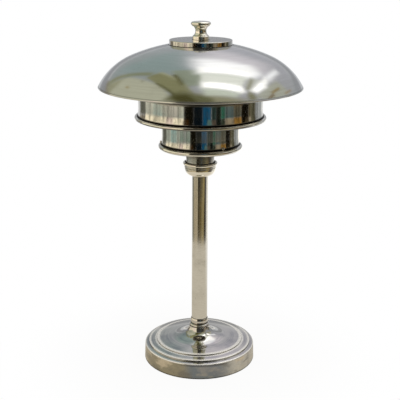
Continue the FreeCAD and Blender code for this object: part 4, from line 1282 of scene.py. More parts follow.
@dataclass
class Drum:
    """Spun reflector drum, open at both ends, with a rolled lip round its foot."""

    name: str
    node: str
    radius: float
    bottom: float
    top: float
    lip_radius: float
    lip_height: float
    # Height where the painted shade under the overhang above begins: the dome's rim over the upper drum, the
    # upper drum's lip over the lower one.
    overhang_shade_level: float
    lean: float = 0.9
    flare_height: float = 14.0
    flare_foot: float = 0.6
    lip_root: float = 0.5
    foot_height: float = 0.5
    lip_start: Point = (0.3, 0.2)
    sheet: float = 1.0
    segments: int = 320
    # Place of the painted shadow in the groove between the wall and the lip.
    lip_shadow_rise: float = 1.3
    lip_shadow_width: float = 0.9

    def build(self) -> None:
        """Make the drum.

        The lip is an arc of more than half a circle that bulges out from the wall.
        """
        root = self.bottom + self.lip_height
        top_radius = self.radius - self.lean
        outline = HalfSection(self.radius - self.sheet, self.bottom + self.foot_height, SOFT_EDGE)
        outline.to(self.radius + self.lip_start[0], self.bottom + self.lip_start[1])
        outline.arc(self.radius + self.lip_root, root, self.lip_bulge(), 36)
        outline.to(self.radius, root - self.lip_root, CRISP_EDGE).to(self.radius, root + self.flare_foot)
        outline.arc(top_radius, root + self.flare_height, self.flare_bulge(), 24)
        outline.to(top_radius, self.top, SOFT_EDGE).to(top_radius - self.sheet, self.top, SOFT_EDGE)
        piece = built(self.name, turned(outline.points(), self.segments), BODY_STAND, self.node)
        # Painted shade: the shadow between the wall and the lip, the lip's shaded underside, and the top
        # edge.
        lines = (
            Crevice(self.lip_height + self.lip_shadow_rise, reach=2.8, outer=self.radius + self.lip_shadow_width),
            Crevice(0.0, reach=1.3, depth=0.9),
            Crevice(self.top - self.bottom, reach=0.8, depth=0.5),
        )
        metal = TurnedMetal(
            f"{self.name}_nickel",
            colour=shade_of("ece8dd"),
            cloud=shade_of("8fa6ab"),
            roughness=0.10,
            roughness_spread=0.05,
            tarnish_share=0.22,
            line_depth=0.004,
            dent_depth=0.006,
            foot=self.bottom,
            crevices=lines,
            overhang_shade_level=self.overhang_shade_level,
        )
        dress(piece, metal.material())

    def flare_bulge(self) -> float:
        """Bulge of the arc that leaves the flare at a slant and meets the plain wall smoothly."""
        return -math.tan(math.atan(self.lean / (self.flare_height - self.flare_foot)) / 2)

    def lip_bulge(self) -> float:
        """Bulge of the lip's arc: how far it stands out, over half its height."""
        return (self.lip_radius - self.radius - self.lip_root) / (self.lip_height / 2)


@dataclass
class DrumScrews:
    """Three small slotted screws that point at the axis, their round heads outside the drum."""

    name: str
    node: str
    radius: float
    height: float
    count: int = 3
    first_angle: float = -56.0
    head_radius: float = 2.4
    head_side: float = 0.5
    head_height: float = 1.7
    crown: Bend = Bend(1.3, 1.58, 0.18, 10)
    crown_flat: float = 0.05
    rings: tuple[float, ...] = (1.1, 0.9, 0.7, 0.5, 0.35, 0.2, 0.1, 0.0)
    shank_radius: float = 1.25
    length: float = 4.6
    slot_half_width: float = 0.38
    slot_edge: float = 0.06
    slot_depth: float = 0.75

    def screw(self) -> Surface:
        """One screw about the axis, head up; points within the slot's width sink by its depth.

        Returns:
            The surface of one screw.
        """
        outline = HalfSection(0, -self.length).to(self.shank_radius, -self.length, CRISP_EDGE)
        outline.to(self.shank_radius, 0).to(self.head_radius, 0, 0.15).to(self.head_radius, self.head_side)
        outline.arc(*self.crown)
        for radius in self.rings:
            outline.to(radius, self.head_height - self.crown_flat)
        screw = turned(outline.points(), 64)
        x, y, z = screw.points.T
        edge = (self.slot_half_width + self.slot_edge - np.abs(x) / MILLIMETRE) / (2 * self.slot_edge)
        sunk = np.clip(edge, 0, 1) * (z > self.slot_depth * MILLIMETRE)
        floor = (self.head_height - self.slot_depth) * MILLIMETRE
        lowered = np.where(sunk > 0, z - sunk * np.maximum(z - floor, 0), z)
        return Surface(np.stack([x, y, lowered], axis=1), screw.quads, screw.triangles)

    def build(self) -> None:
        """Make the three screws as one piece."""
        whole: Union[Surface, None] = None
        for index in range(self.count):
            way = math.radians(self.first_angle + index * 360 / self.count)
            out = np.array([math.cos(way), math.sin(way), 0.0])
            aside = np.array([-math.sin(way), math.cos(way), 0.0])
            axes = np.stack([aside, np.array([0, 0, 1.0]), out], axis=1)
            place = out * self.radius * MILLIMETRE + (0, 0, self.height * MILLIMETRE)
            one = self.screw().moved(axes, place)
            whole = one if whole is None else whole.joined(one)
        piece = built(self.name, whole, BODY_STAND, self.node)
        dress(piece, SCREW_NICKEL.material())


@dataclass
class Shade:
    """Spun dome with a folded hem, and the turned cap on its seat.

    Heights are above the table, but those of the painted shade are above the seat.
    """

    segments: int = 384
    bore: float = 8.0
    seat: float = 490.77
    seat_radius: float = 46.05
    seat_step: float = 1.0
    step_rounding: float = 0.25
    sheet: float = 1.2
    crown_curve: float = 262.0
    crown_centre: float = 233.57
    joint_radius: float = 103.42
    shoulder_curve: float = 95.5
    rim: Point = (149.88, 431.47)
    hem_height: float = 1.36
    hem_thickness: float = 2.0
    hem_fold: float = 0.7
    hem_bulge: float = -0.45
    hem_lap: float = 0.4
    underside_inset: float = 0.4
    cap_segments: int = 288
    cap_radius: float = 45.85
    cap_top: float = 498.67
    cap_rounding: float = 1.3
    cap_bore: float = 4.3
    spigot: Point = (7.8, 1.0)
    undercut: Point = (0.8, 0.9)
    cap_edge: float = 1.2
    # Painted shade just above the hem, round the cap's seat on the dome, along the cap's lower edge and
    # round the finial's foot on the cap.
    dome_painted_shade: tuple[Crevice, ...] = (
        Crevice(-57.9, 0.7, inner=148.0, depth=0.45),
        Crevice(0.9, 1.0, inner=44.0, outer=47.4, depth=0.9),
    )
    cap_painted_shade: tuple[Crevice, ...] = (
        Crevice(0.5, 0.7, inner=44.0, depth=0.9),
        Crevice(7.9, 0.5, outer=13.0, depth=0.7),
    )

    def crown_point(self, radius: float) -> Point:
        """Point of the crown's arc at a radius."""
        return radius, self.crown_centre + math.sqrt(self.crown_curve**2 - radius**2)

    def under(self, point: Point) -> Point:
        """Point of the sheet's inner side under a point of the crown."""
        shrink = (self.crown_curve - self.sheet) / self.crown_curve
        return point[0] * shrink, self.crown_centre + (point[1] - self.crown_centre) * shrink

    @staticmethod
    def bulge_of(start: Point, end: Point, curve: float) -> float:
        """Bulge of an arc of a given radius between two points: tan(asin(chord / 2R) / 2)."""
        chord = math.hypot(end[0] - start[0], end[1] - start[1])
        return math.tan(math.asin(chord / 2 / curve) / 2)

    def section(self) -> FloatArray:
        """Half section of the dome: seat, crown, shoulder and hem outside, and back inside.

        Returns:
            Radius and height of each point, in metres.
        """
        step = self.crown_point(self.seat_radius + self.seat_step)
        joint = self.crown_point(self.joint_radius)
        under_step, under_joint = self.under(step), self.under(joint)
        crown, shoulder = self.crown_curve, self.shoulder_curve
        outline = HalfSection(self.bore, self.seat).to(self.seat_radius, self.seat, CRISP_EDGE)
        outline.to(*step, self.step_rounding)
        outline.arc(*joint, -self.bulge_of(step, joint, crown), 48)
        outline.arc(*self.rim, -self.bulge_of(joint, self.rim, shoulder), 56)
        rim, bottom = self.rim[0], self.rim[1] - self.hem_height
        hem = (rim - self.hem_thickness, self.rim[1] + self.hem_lap)
        outline.arc(rim - self.hem_fold, bottom, self.hem_bulge, 8)
        outline.arc(hem[0], bottom + self.hem_fold, self.hem_bulge, 8).to(*hem)
        outline.arc(*under_joint, self.bulge_of(hem, under_joint, shoulder - self.sheet), 56)
        outline.arc(*under_step, self.bulge_of(under_joint, under_step, crown - self.sheet), 48)
        underside = self.seat - self.sheet
        outline.to(self.seat_radius - self.underside_inset, underside).to(self.bore, underside)
        return outline.points()

    def build_dome(self) -> None:
        """Make the dome."""
        piece = built("shade_dome", turned(self.section(), self.segments), BODY_SHADE, "dome")
        metal = TurnedMetal(
            "dome_nickel",
            colour=shade_of("d8d7d3"),
            roughness=0.12,
            roughness_spread=0.03,
            tarnish_share=0.12,
            tarnish_scale=13.0,
            line_depth=0.002,
            dent_depth=0.004,
            foot=self.seat,
            crevices=self.dome_painted_shade,
        )
        dress(piece, metal.material())

    def build_cap(self) -> None:
        """Make the cap: a flat disc with a softened rim over a straight side."""
        radius, seat, top = self.cap_radius, self.seat, self.cap_top
        spigot, foot = self.spigot[0], seat - self.spigot[1]
        inset = radius - self.undercut[0]
        outline = HalfSection(self.cap_bore, foot).to(spigot, foot).to(spigot, seat).to(inset, seat)
        outline.to(inset, seat + self.undercut[1], 0.15).to(radius, seat + self.cap_edge, CRISP_EDGE)
        outline.to(radius, top, self.cap_rounding).to(self.cap_bore, top)
        piece = built("shade_cap", turned(outline.points(), self.cap_segments), BODY_SHADE, "cap_disc")
        metal = TurnedMetal(
            "cap_nickel",
            roughness=0.12,
            tarnish_share=0.2,
            line_depth=0.006,
            foot=seat,
            crevices=self.cap_painted_shade,
        )
        dress(piece, metal.material())

    def build(self) -> None:
        """Make both pieces."""
        self.build_dome()
        self.build_cap()


@dataclass
class Knob:
    """Turned finial: a foot, a waist and a domed head.

    The heights of the head's bends are above the top and those of the bores above the table. All
    others are above the foot.
    """

    segments: int = 160
    foot: float = 498.67
    top: float = 524.95
    disc: Point = (12.45, 3.4)
    shoulder: Bend = Bend(11.3, 5.6, 0.30, 10)
    neck_foot: Point = (10.5, 6.3)
    waist: tuple[Bend, Bend] = (Bend(8.1, 12.1, -0.22, 18), Bend(11.2, 18.4, -0.24, 18))
    head_foot: Point = (13.3, 19.6)
    head: tuple[Bend, Bend] = (Bend(12.4, -0.95, 0.62, 22), Bend(0.0, 0.0, 0.045, 14))
    bore: Point = (6.06, 503.2)
    tapped: Point = (4.3, 507.4)
    # Painted shade where the finial stands on the cap and at the foot of its neck.
    dirt_and_shade: tuple[Crevice, ...] = (Crevice(0.0, 0.6, depth=0.8), Crevice(6.0, 0.5, depth=0.55))

    def build(self) -> None:
        """Make the finial from arcs that meet its foot, its waist and its head."""
        low = self.foot
        bore, tapped = self.bore[0], self.tapped[0]
        outline = HalfSection(bore, low).to(self.disc[0], low, CRISP_EDGE)
        outline.to(self.disc[0], low + self.disc[1])
        outline.arc(*self.shoulder.raised(low)).to(self.neck_foot[0], low + self.neck_foot[1], SOFT_EDGE)
        for bend in self.waist:
            outline.arc(*bend.raised(low))
        outline.to(self.head_foot[0], low + self.head_foot[1], 0.5)
        for bend in self.head:
            outline.arc(*bend.raised(self.top))
        outline.to(0, self.tapped[1]).to(tapped, self.tapped[1]).to(tapped, self.bore[1]).to(*self.bore)
        piece = built("top_knob", turned(outline.points(), self.segments), BODY_KNOB, "finial")
        metal = TurnedMetal(
            "knob_nickel",
            # A lighter nickel than on the other pieces: a lit copy of the same plating, painted highlight.
            colour=shade_of("fbf5e8"),
            roughness=0.13,
            tarnish_share=0.1,
            foot=low,
            crevices=self.dirt_and_shade,
        )
        dress(piece, metal.material())


@dataclass
class Bulb:
    """Tubular frosted bulb with its rolled screw cap."""

    segments: int = 128
    cap: Point = (345.37, 367.37)
    cap_radius: float = 13.0
    cap_foot: Point = (11.5, 1.5)
    cap_sheet: float = 0.5
    cap_rounding: float = 0.4
    cap_levels: int = 60
    cap_ends: Point = (2.2, 1.0)
    thread_pitch: float = 3.629
    thread_depth: float = 0.75
    thread_ends: Point = (1.6, 4.0)
    glass_radius: float = 16.0
    glass_wall: float = 0.8
    glass_shoulder: float = 3.0
    shoulder_rounding: float = 2.0
    dome_rounding: float = 9.0
    top: float = 444.37

    def build_glass(self) -> None:
        """Make the glass: a tube with a rounded end, hollow."""
        high, shoulder, wall = self.cap[1], self.cap[1] + self.glass_shoulder, self.glass_wall
        inside = self.glass_radius - wall
        outline = HalfSection(self.cap_radius - wall, high).to(self.cap_radius, high)
        outline.to(self.glass_radius, shoulder, self.shoulder_rounding)
        outline.to(self.glass_radius, self.top, self.dome_rounding).to(0, self.top).to(0, self.top - wall)
        outline.to(inside, self.top - wall, self.dome_rounding - wall)
        outline.to(inside, shoulder, self.shoulder_rounding)
        glass = built("bulb_tube", turned(outline.points(), self.segments), BODY_BULB, "bulb_glass")
        dress(glass, FrostedGlass().material())

    def build_cap(self) -> None:
        """Make the threaded cap."""
        (low, high), radius = self.cap, self.cap_radius
        foot, floor = self.cap_foot[0], low + self.cap_foot[1]
        outline = HalfSection(0, low).to(foot, low, self.cap_rounding).to(radius, floor, self.cap_rounding)
        for level in np.linspace(low + self.cap_ends[0], high - self.cap_ends[1], self.cap_levels):
            outline.to(radius, float(level))
        inside = radius - self.cap_sheet
        outline.to(radius, high).to(inside, high).to(inside, floor).to(0, floor)
        span = (low + self.thread_ends[0], high - self.thread_ends[1])
        plain_shell = turned(outline.points(), self.segments)
        shell = threaded(plain_shell, span, self.thread_pitch, self.thread_depth)
        cap = built("bulb_screw", shell, BODY_BULB, "bulb_cap")
        dress(cap, CAP_METAL.material())

    def build(self) -> None:
        """Make the glass and the threaded cap."""
        self.build_glass()
        self.build_cap()


# ------------------------------------------------------------------------------------ the studio


@dataclass
class Lens:
    """Camera at the lamp's front, a little above it: places in metres, turns in degrees."""

    place: tuple[float, float, float] = (0.0, -1.264, 0.626)
    pitch: float = 16.27
    roll: float = 0.30
    focal: float = 77.85
    sensor: float = 36.0

    def build(self) -> None:
        """Make the camera and give it to the scene."""
        data = bpy.data.cameras.new("camera")
        data.lens, data.sensor_width = self.focal, self.sensor
        camera = bpy.data.objects.new("camera", data)
        tilt = Matrix.Rotation(math.radians(90 - self.pitch), 4, "X")
        turn = Matrix.Rotation(math.radians(self.roll), 4, "Z")
        camera.matrix_world = Matrix.Translation(Vector(self.place)) @ tilt @ turn
        bpy.context.scene.collection.objects.link(camera)
        bpy.context.scene.camera = camera


@dataclass(frozen=True)
class Fixture:
    """A part of the room's walls: its sides in degrees right of the front, its foot and head in degrees
    above level, the code of its colour and how many degrees its sides and ends take to fade."""

    left: float
    right: float
    foot: float
    head: float
    colour: str
    soft: float = 1.0
    soft_ends: float = 1.5

    def share(self, around: Reading, level: Reading) -> Reading:
        """1 inside the fixture, 0 outside.

        Args:
            around: Degrees to the right of the front.
            level: Degrees above level.

        Returns:
            The share that lies inside.
        """
        soft, ends = self.soft / 2, self.soft_ends / 2
        beside = around.between(self.left - soft, self.left + soft)
        beside = beside * around.between(self.right + soft, self.right - soft)
        upright = level.between(self.foot - ends, self.foot + ends)
        return beside * (upright * level.between(self.head + ends, self.head - ends))


@dataclass(frozen=True)
class Patch:
    """A part of the room's ceiling: colour code, width of its soft edge, and the flattened corners of a
    convex outline."""

    colour: str
    soft: float
    corners: tuple[Point, ...]

    def inside(self, x: Reading, y: Reading) -> Reading:
        """1 inside the outline, 0 outside: the least of the distances to its sides, softened.

        Args:
            x: Flattened place to the right.
            y: Flattened place to the front.

        Returns:
            The share that lies inside.
        """
        middle = np.mean(self.corners, axis=0)
        least: Union[Reading, None] = None
        for here, after in zip(self.corners, (*self.corners[1:], self.corners[0])):
            side = np.array([after[1] - here[1], here[0] - after[0]])
            side = side / np.hypot(*side) * np.sign(side @ (middle - here))
            distance = x * float(side[0]) + y * float(side[1]) - float(side @ np.array(here))
            least = distance if least is None else least.lesser(distance)
        return least.between(-self.soft / 2, self.soft / 2)


FIXTURES = (
    Fixture(-119, -30, -9.0, 40, "ddd4bd", 1.0, 5.0),
    Fixture(-64, -50, -9.0, 40, "d8c6bd", 4.0, 5.0),
    Fixture(-119, -30, -13.5, -9.0, "8f968e", 1.0, 4.0),
    Fixture(-96, -74, -12.5, -9.5, "7f9c9b", 5.0, 2.0),
    Fixture(-50, -42, -12.8, -10.0, "8d7f86", 4.0, 2.0),
    Fixture(-62, -30, -13.5, -11.2, "5c736b", 3.0),
    Fixture(-128, -98, -90, -14.0, "7c7a6c", 4.0),
    Fixture(-98, -30, -90, -14.0, "a99d84", 3.0),
    Fixture(-145, -119, -14.0, -8.0, "56574f", 3.0),
    Fixture(-145, -119, -7.5, 40, "7d766a", 3.0),
    Fixture(-30, -12, -16.0, 40, "080703"),
    Fixture(-30, -20, -7.0, 40, "2c1c0a"),
    Fixture(-12, 4, -12.5, 40, "020a12"),
    Fixture(4, 19, -12.0, 40, "053f5e"),
    Fixture(12, 20, -7.0, 40, "4a6462"),
    Fixture(20, 28, -12.0, 40, "122a28"),
    Fixture(20, 28, -7.0, 40, "463e36"),
    Fixture(28, 37, -12.0, 40, "040b07"),
    Fixture(37, 45, -12.0, -8.0, "1a5343"),
    Fixture(37, 45, -8.0, 40, "283026"),
    Fixture(45, 62, -12.0, -8.0, "35494d"),
    Fixture(45, 62, -8.0, 40, "7b7160"),
    Fixture(62, 79, -12.0, -8.5, "3c423a"),
    Fixture(62, 79, -8.5, 40, "80602c"),
    Fixture(79, 97, -14.0, 40, "080602"),
    Fixture(88, 97, -7.0, 40, "463c2a"),
    Fixture(97, 104, -14.0, 40, "4a4432"),
    Fixture(97, 104, -7.0, 40, "8c8474"),
    Fixture(104, 119, -14.0, 40, "4c4a3a"),
    Fixture(119, 150, -14.0, 40, "8c9093", 6.0),
    Fixture(-12, 45, -14.6, -12.0, "2e2d20"),
    Fixture(45, 80, -14.6, -12.0, "564a30"),
    Fixture(-30, 8, -16.2, -14.4, "28261a"),
    Fixture(8, 40, -16.2, -14.4, "5d5230", 4.0),
    Fixture(40, 70, -16.2, -14.4, "94844f", 4.0),
    Fixture(70, 97, -16.2, -14.4, "191608"),
    Fixture(-30, -4, -90, -16.0, "4b4128", 4.0),
    Fixture(-4, 24, -90, -16.0, "64562f", 4.0),
    Fixture(24, 62, -90, -16.0, "8b7d55", 4.0),
    Fixture(62, 90, -90, -16.0, "2b2620", 4.0),
    Fixture(90, 104, -90, -14.0, "8d8a86", 4.0),
    Fixture(104, 150, -90, -14.0, "dddcd8", 6.0),
    Fixture(150, 185, -90, -10.0, "e9e7e3", 10.0, 4.0),
    Fixture(-185, -158, -90, -10.0, "e9e7e3", 10.0, 4.0),
    Fixture(136, 200, 4.0, 14.0, "86888c", 12.0, 3.0),
    Fixture(-200, -132, 4.0, 14.0, "85878b", 8.0, 3.0),
)
PATCHES = (
    Patch("8a9092", 0.30, ((-0.75, -1.2), (-0.06, -1.2), (-0.04, 0.3), (-0.75, 0.3))),
    Patch("bcbcbf", 0.30, ((-0.6, -1.3), (0.6, -1.3), (0.6, -1.05), (-0.6, -1.05))),
    Patch("819090", 0.20, ((-0.36, -0.56), (-0.06, -0.56), (-0.03, -0.14), (-0.20, -0.16), (-0.36, -0.36))),
    Patch("95979b", 0.25, ((0.42, -1.0), (1.2, -1.2), (1.2, 0.3), (0.42, 0.3))),
    Patch("bfbcc3", 0.18, ((0.0, -0.56), (0.22, -0.54), (0.36, -0.3), (0.0, -0.3))),
    Patch("85836c", 0.14, ((-0.6, 0.26), (0.6, 0.22), (0.8, 1.3), (-0.8, 1.3))),
    Patch("828a7b", 0.03, ((-0.13, -0.20), (0.02, -0.20), (0.02, 0.11), (-0.13, 0.11))),
    Patch("fbfcff", 0.10, ((-0.02, -0.40), (0.18, -0.40), (0.30, -0.26), (0.30, -0.12), (-0.01, -0.12))),
    Patch("ffffff", 0.03, ((-0.01, -0.28), (0.22, -0.26), (0.26, -0.18), (0.24, -0.15), (-0.01, -0.14))),
    Patch("b9bbb7", 0.03, ((0.26, -0.16), (0.36, -0.16), (0.40, 0.0), (0.36, 0.09), (0.28, 0.0))),
    Patch("d9dcd5", 0.03, ((0.0, -0.135), (0.25, -0.13), (0.27, 0.05), (0.0, 0.05))),
    Patch("c9cec6", 0.02, ((0.0, -0.105), (0.26, -0.10), (0.26, -0.085), (0.0, -0.085))),
    Patch("ffffff", 0.03, ((0.0, 0.035), (0.27, 0.035), (0.33, 0.11), (0.30, 0.15), (0.0, 0.15))),
    Patch("b9c0b3", 0.07, ((0.0, 0.15), (0.30, 0.15), (0.28, 0.23), (0.04, 0.27))),
    Patch("f4f6fa", 0.06, ((0.31, -0.50), (0.35, -0.48), (0.39, -0.24), (0.34, -0.24))),
    Patch("9d9f94", 0.05, ((0.42, -0.30), (0.60, -0.36), (0.62, 0.0), (0.44, 0.12))),
    Patch("ffffff", 0.045, ((0.335, -0.25), (0.385, -0.22), (0.425, -0.10), (0.355, -0.06))),
    Patch("ffffff", 0.045, ((0.355, -0.10), (0.43, -0.11), (0.42, 0.05), (0.35, 0.07))),
    Patch("82816a", 0.03, ((0.27, -0.13), (0.30, -0.12), (0.34, 0.05), (0.31, 0.07))),
    Patch("76755c", 0.04, ((0.34, 0.07), (0.40, 0.08), (0.47, 0.14), (0.42, 0.21), (0.36, 0.15))),
    Patch("84734a", 0.02, ((0.49, -0.25), (0.52, -0.24), (0.53, -0.09), (0.50, -0.08))),
    Patch("6f6048", 0.02, ((0.52, -0.10), (0.56, -0.09), (0.57, 0.04), (0.54, 0.05))),
    Patch("8c7a5c", 0.02, ((0.55, -0.44), (0.575, -0.42), (0.60, -0.27), (0.58, -0.27))),
    Patch("a3a492", 0.04, ((-0.75, -0.64), (-0.50, -0.48), (-0.35, -0.26), (-0.28, -0.16), (-0.26, 0.05),
                           (-0.19, 0.26), (-0.32, 0.42), (-0.80, 0.20))),
    Patch("8b8b74", 0.08, ((-0.80, -0.62), (-0.52, -0.56), (-0.42, -0.34), (-0.50, -0.34), (-0.80, -0.52))),
    Patch("6f6f5c", 0.01, ((-0.355, -0.135), (-0.335, -0.14), (-0.33, -0.12), (-0.35, -0.115))),
    Patch("8f8462", 0.015, ((-0.495, -0.20), (-0.465, -0.20), (-0.46, -0.15), (-0.49, -0.15))),
    Patch("7e8069", 0.04, ((-0.62, -0.66), (-0.48, -0.60), (-0.34, -0.36), (-0.40, -0.36), (-0.56, -0.58))),
    Patch("787d66", 0.04, ((-0.36, -0.38), (-0.22, -0.22), (-0.26, -0.17), (-0.40, -0.35))),
    Patch("7a7a5b", 0.02, ((-0.295, -0.16), (-0.17, -0.20), (-0.09, 0.10), (0.01, 0.38), (-0.12, 0.42),
                           (-0.20, 0.27), (-0.27, 0.06))),
    Patch("5b5b40", 0.07, ((-0.32, 0.27), (-0.16, 0.19), (0.10, 0.31), (0.14, 0.44), (-0.1, 0.48))),
    Patch("413f20", 0.04, ((-0.24, 0.24), (-0.10, 0.25), (-0.02, 0.40), (-0.16, 0.44))),
    Patch("97987c", 0.012, ((-0.200, -0.20), (-0.18, -0.20), (-0.06, 0.20), (0.0, 0.36), (-0.02, 0.36),
                            (-0.10, 0.12))),
    Patch("4b4a2a", 0.015, ((-0.28, -0.02), (-0.262, -0.02), (-0.18, 0.25), (-0.21, 0.26))),
    Patch("4f4a20", 0.02, ((-0.145, -0.12), (-0.12, -0.12), (-0.10, 0.08), (-0.125, 0.085))),
)
GLARE = (
    Patch("ffffff", 0.03, ((0.03, -0.235), (0.20, -0.22), (0.24, -0.18), (0.22, -0.165), (0.03, -0.17))),
    Patch("ffffff", 0.03, ((0.03, 0.06), (0.25, 0.06), (0.28, 0.10), (0.26, 0.125), (0.03, 0.125))),
    Patch("ffffff", 0.02, ((0.365, -0.12), (0.385, -0.11), (0.405, -0.05), (0.40, 0.01), (0.37, 0.02))),
)


def staged(name: str, surface: Surface, material: bpy.types.Material) -> bpy.types.Object:
    """Make a piece of the stage from a surface.

    Args:
        name: Its name.
        surface: Its points and faces.
        material: What it is made of.

    Returns:
        The new object.
    """
    thing = linked(name, surface)
    dress(thing, material)
    return thing


@dataclass
class Room:
    """The room round the lamp: a wide shell with walls and a ceiling, which only metal shows.

    A point of the shell lies at R (cos e sin a, -cos e cos a, sin e), a to the right of the
    front and e above level. The ceiling is flattened to (sin a, cos a) cos e / (1 + sin e).
    """

    HALF_CIRCLE = 0.999999

    radius: float = 9.0
    centre: float = 0.3
    light: float = 2.4
    plain_share: float = 0.625
    axis: float = 0.01
    wall: Colour = shade_of("abadb0")
    ceiling: Colour = shade_of("9c9da4")
    streak: Colour = shade_of("0b0a07")
    streak_scale: Point = (0.40, 0.07)
    streaks: Span = (0.56, 0.36)
    streak_sides: Span = (150.0, 125.0)
    streak_heights: Span = (6.0, -4.0)
    streak_share: float = 0.75
    dull_front: Colour = shade_of("3a3935")
    dull_side: Colour = shade_of("8d897c")
    dull_left: Span = (-33.0, -28.0)
    dull_right: Span = (125.0, 100.0)
    dull_turn: Span = (40.0, 70.0)
    dull_heights: Span = (0.0, 9.0)
    dull_share: float = 0.85
    border: Span = (14.0, 18.0)
    border_drops: Point = (19.0, 11.0)
    near_border: Span = (0.1, 0.7)
    far_border: Span = (0.75, 0.95)

    def walls(self, sheet: Sheet, around: Reading, level: Reading) -> bpy.types.NodeSocket:
        """Colour of the walls: each fixture in turn over the plain wall, dark streaks low down in
        front, and duller above level.

        Args:
            sheet: The room's sheet of nodes.
            around: Degrees to the right of the front.
            level: Degrees above level.

        Returns:
            The socket that gives the colour.
        """
        colour: Any = self.wall
        for part in FIXTURES:
            colour = sheet.mixed(part.share(around, level), colour, shade_of(part.colour))
        across, up = self.streak_scale
        streaks = sheet.noise(sheet.combined(around * across, level * up, 0.0), 1.0, 4.0)
        streaks = streaks.between(*self.streaks) * around.size().between(*self.streak_sides)
        streaks = streaks * level.between(*self.streak_heights) * self.streak_share
        colour = sheet.mixed(streaks, colour, self.streak)
        ahead = around.between(*self.dull_left) * around.between(*self.dull_right)
        dull = sheet.mixed(around.between(*self.dull_turn), self.dull_front, self.dull_side)
        return sheet.mixed(level.between(*self.dull_heights) * ahead * self.dull_share, colour, dull)

    def roof(self, sheet: Sheet, x: Reading, y: Reading) -> bpy.types.NodeSocket:
        """Colour of the ceiling: each patch in turn, over its plain colour.

        Args:
            sheet: The room's sheet of nodes.
            x: Flattened place to the right.
            y: Flattened place to the front.

        Returns:
            The socket that gives the colour.
        """
        colour: Any = self.ceiling
        for patch in PATCHES:
            colour = sheet.mixed(patch.inside(x, y), colour, shade_of(patch.colour))
        return colour

    def material(self) -> bpy.types.Material:
        """Build the shell's glow: walls and ceiling, dimmed, and the windows' glare at full strength.

        Returns:
            The material.
        """
        material, sheet = new_sheet("studio_room")
        x, y, z = sheet.split(sheet.coordinates())
        z = z - self.centre
        front = 0 - y
        around = x.worked("ARCTAN2", front) * math.degrees(1)
        flat = (x * x + y * y).root()
        level = z.worked("ARCTAN2", flat) * math.degrees(1)
        reach = ((flat * flat + z * z).root() + z).greater(self.axis)
        flat_x, flat_y = x / reach, front / reach
        ahead = front / flat.greater(self.axis)
        near_drop, far_drop = self.border_drops
        border = level - ahead.between(*self.near_border) * near_drop
        border = border - ahead.between(*self.far_border) * far_drop
        walls, roof = self.walls(sheet, around, level), self.roof(sheet, flat_x, flat_y)
        colour = sheet.mixed(border.between(*self.border), walls, roof)
        colour = sheet.mixed(self.plain_share, BLACK, colour)
        for patch in GLARE:
            colour = sheet.mixed(patch.inside(flat_x, flat_y), colour, shade_of(patch.colour))
        glow = sheet.add("ShaderNodeEmission", {}, {"Color": colour, "Strength": self.light})
        sheet.finish(glow.outputs[0])
        material.cycles.emission_sampling = "NONE"
        return material

    def build(self) -> None:
        """Make the shell."""
        size = self.radius / MILLIMETRE
        outline = HalfSection(0, -size).arc(0, size, self.HALF_CIRCLE, 96)
        shell = turned(outline.points(), 192).moved(np.eye(3), (0, 0, self.centre))
        room = staged("room", shell, self.material())
        room.visible_camera = False
        room.visible_diffuse = False
        room.visible_transmission = False
        room.visible_shadow = False


@dataclass
class Floor:
    """Pale round floor: white to the eye far from the lamp, beige in front and white behind to metal."""

    radius: float = 0.57
    thickness: float = 0.004
    pale: Colour = shade_of("e6e3de")
    grain: Colour = shade_of("dedbd6")
    front: Colour = shade_of("cdc6b6")
    rear: Colour = shade_of("fbfaf8")
    grain_scale: float = 300.0
    far: Span = (0.10, 0.32)
    rear_slant: float = 0.35
    rear_starts: Span = (0.05, 0.45)
    near_share: float = 0.94
    metal_share: float = 0.7

    def material(self) -> bpy.types.Material:
        """Build the floor's look: matt, so that it takes the lamp's shadow, with a share of plain white.

        Returns:
            The material.
        """
        material, sheet = new_sheet("pale_floor")
        rays = sheet.rays("Is Camera Ray", "Is Glossy Ray", "Is Transmission Ray")
        camera, glossy, clear = rays
        place = sheet.coordinates()
        x, y, _ = sheet.split(place)
        matt_colour = sheet.mixed(sheet.noise(place, self.grain_scale, 3.0), self.grain, self.pale)
        matt = sheet.add("ShaderNodeBsdfDiffuse", {}, {"Color": matt_colour})
        far = (x * x + y * y).root().between(*self.far)
        white = sheet.add("ShaderNodeEmission", {}, {"Color": WHITE, "Strength": 1.0})
        behind = (y + x * self.rear_slant).between(*self.rear_starts)
        seen = sheet.mixed(behind, self.front, self.rear)
        tinted = sheet.add("ShaderNodeEmission", {}, {"Color": seen, "Strength": 1.0})
        share = camera.greater(clear) * (self.near_share + far * (1 - self.near_share))
        share = share.greater(glossy * self.metal_share)
        kind = sheet.add("ShaderNodeMixShader", {}, {0: glossy, 1: white.outputs[0], 2: tinted.outputs[0]})
        mix = sheet.add("ShaderNodeMixShader", {}, {0: share, 1: matt.outputs[0], 2: kind.outputs[0]})
        sheet.finish(mix.outputs[0])
        return material

    def build(self) -> None:
        """Make the floor, its top at the table's height."""
        radius, depth = self.radius / MILLIMETRE, self.thickness / MILLIMETRE
        outline = HalfSection(0, -depth).to(radius, -depth).to(radius, 0).to(0, 0)
        staged("floor", turned(outline.points(), 128), self.material())


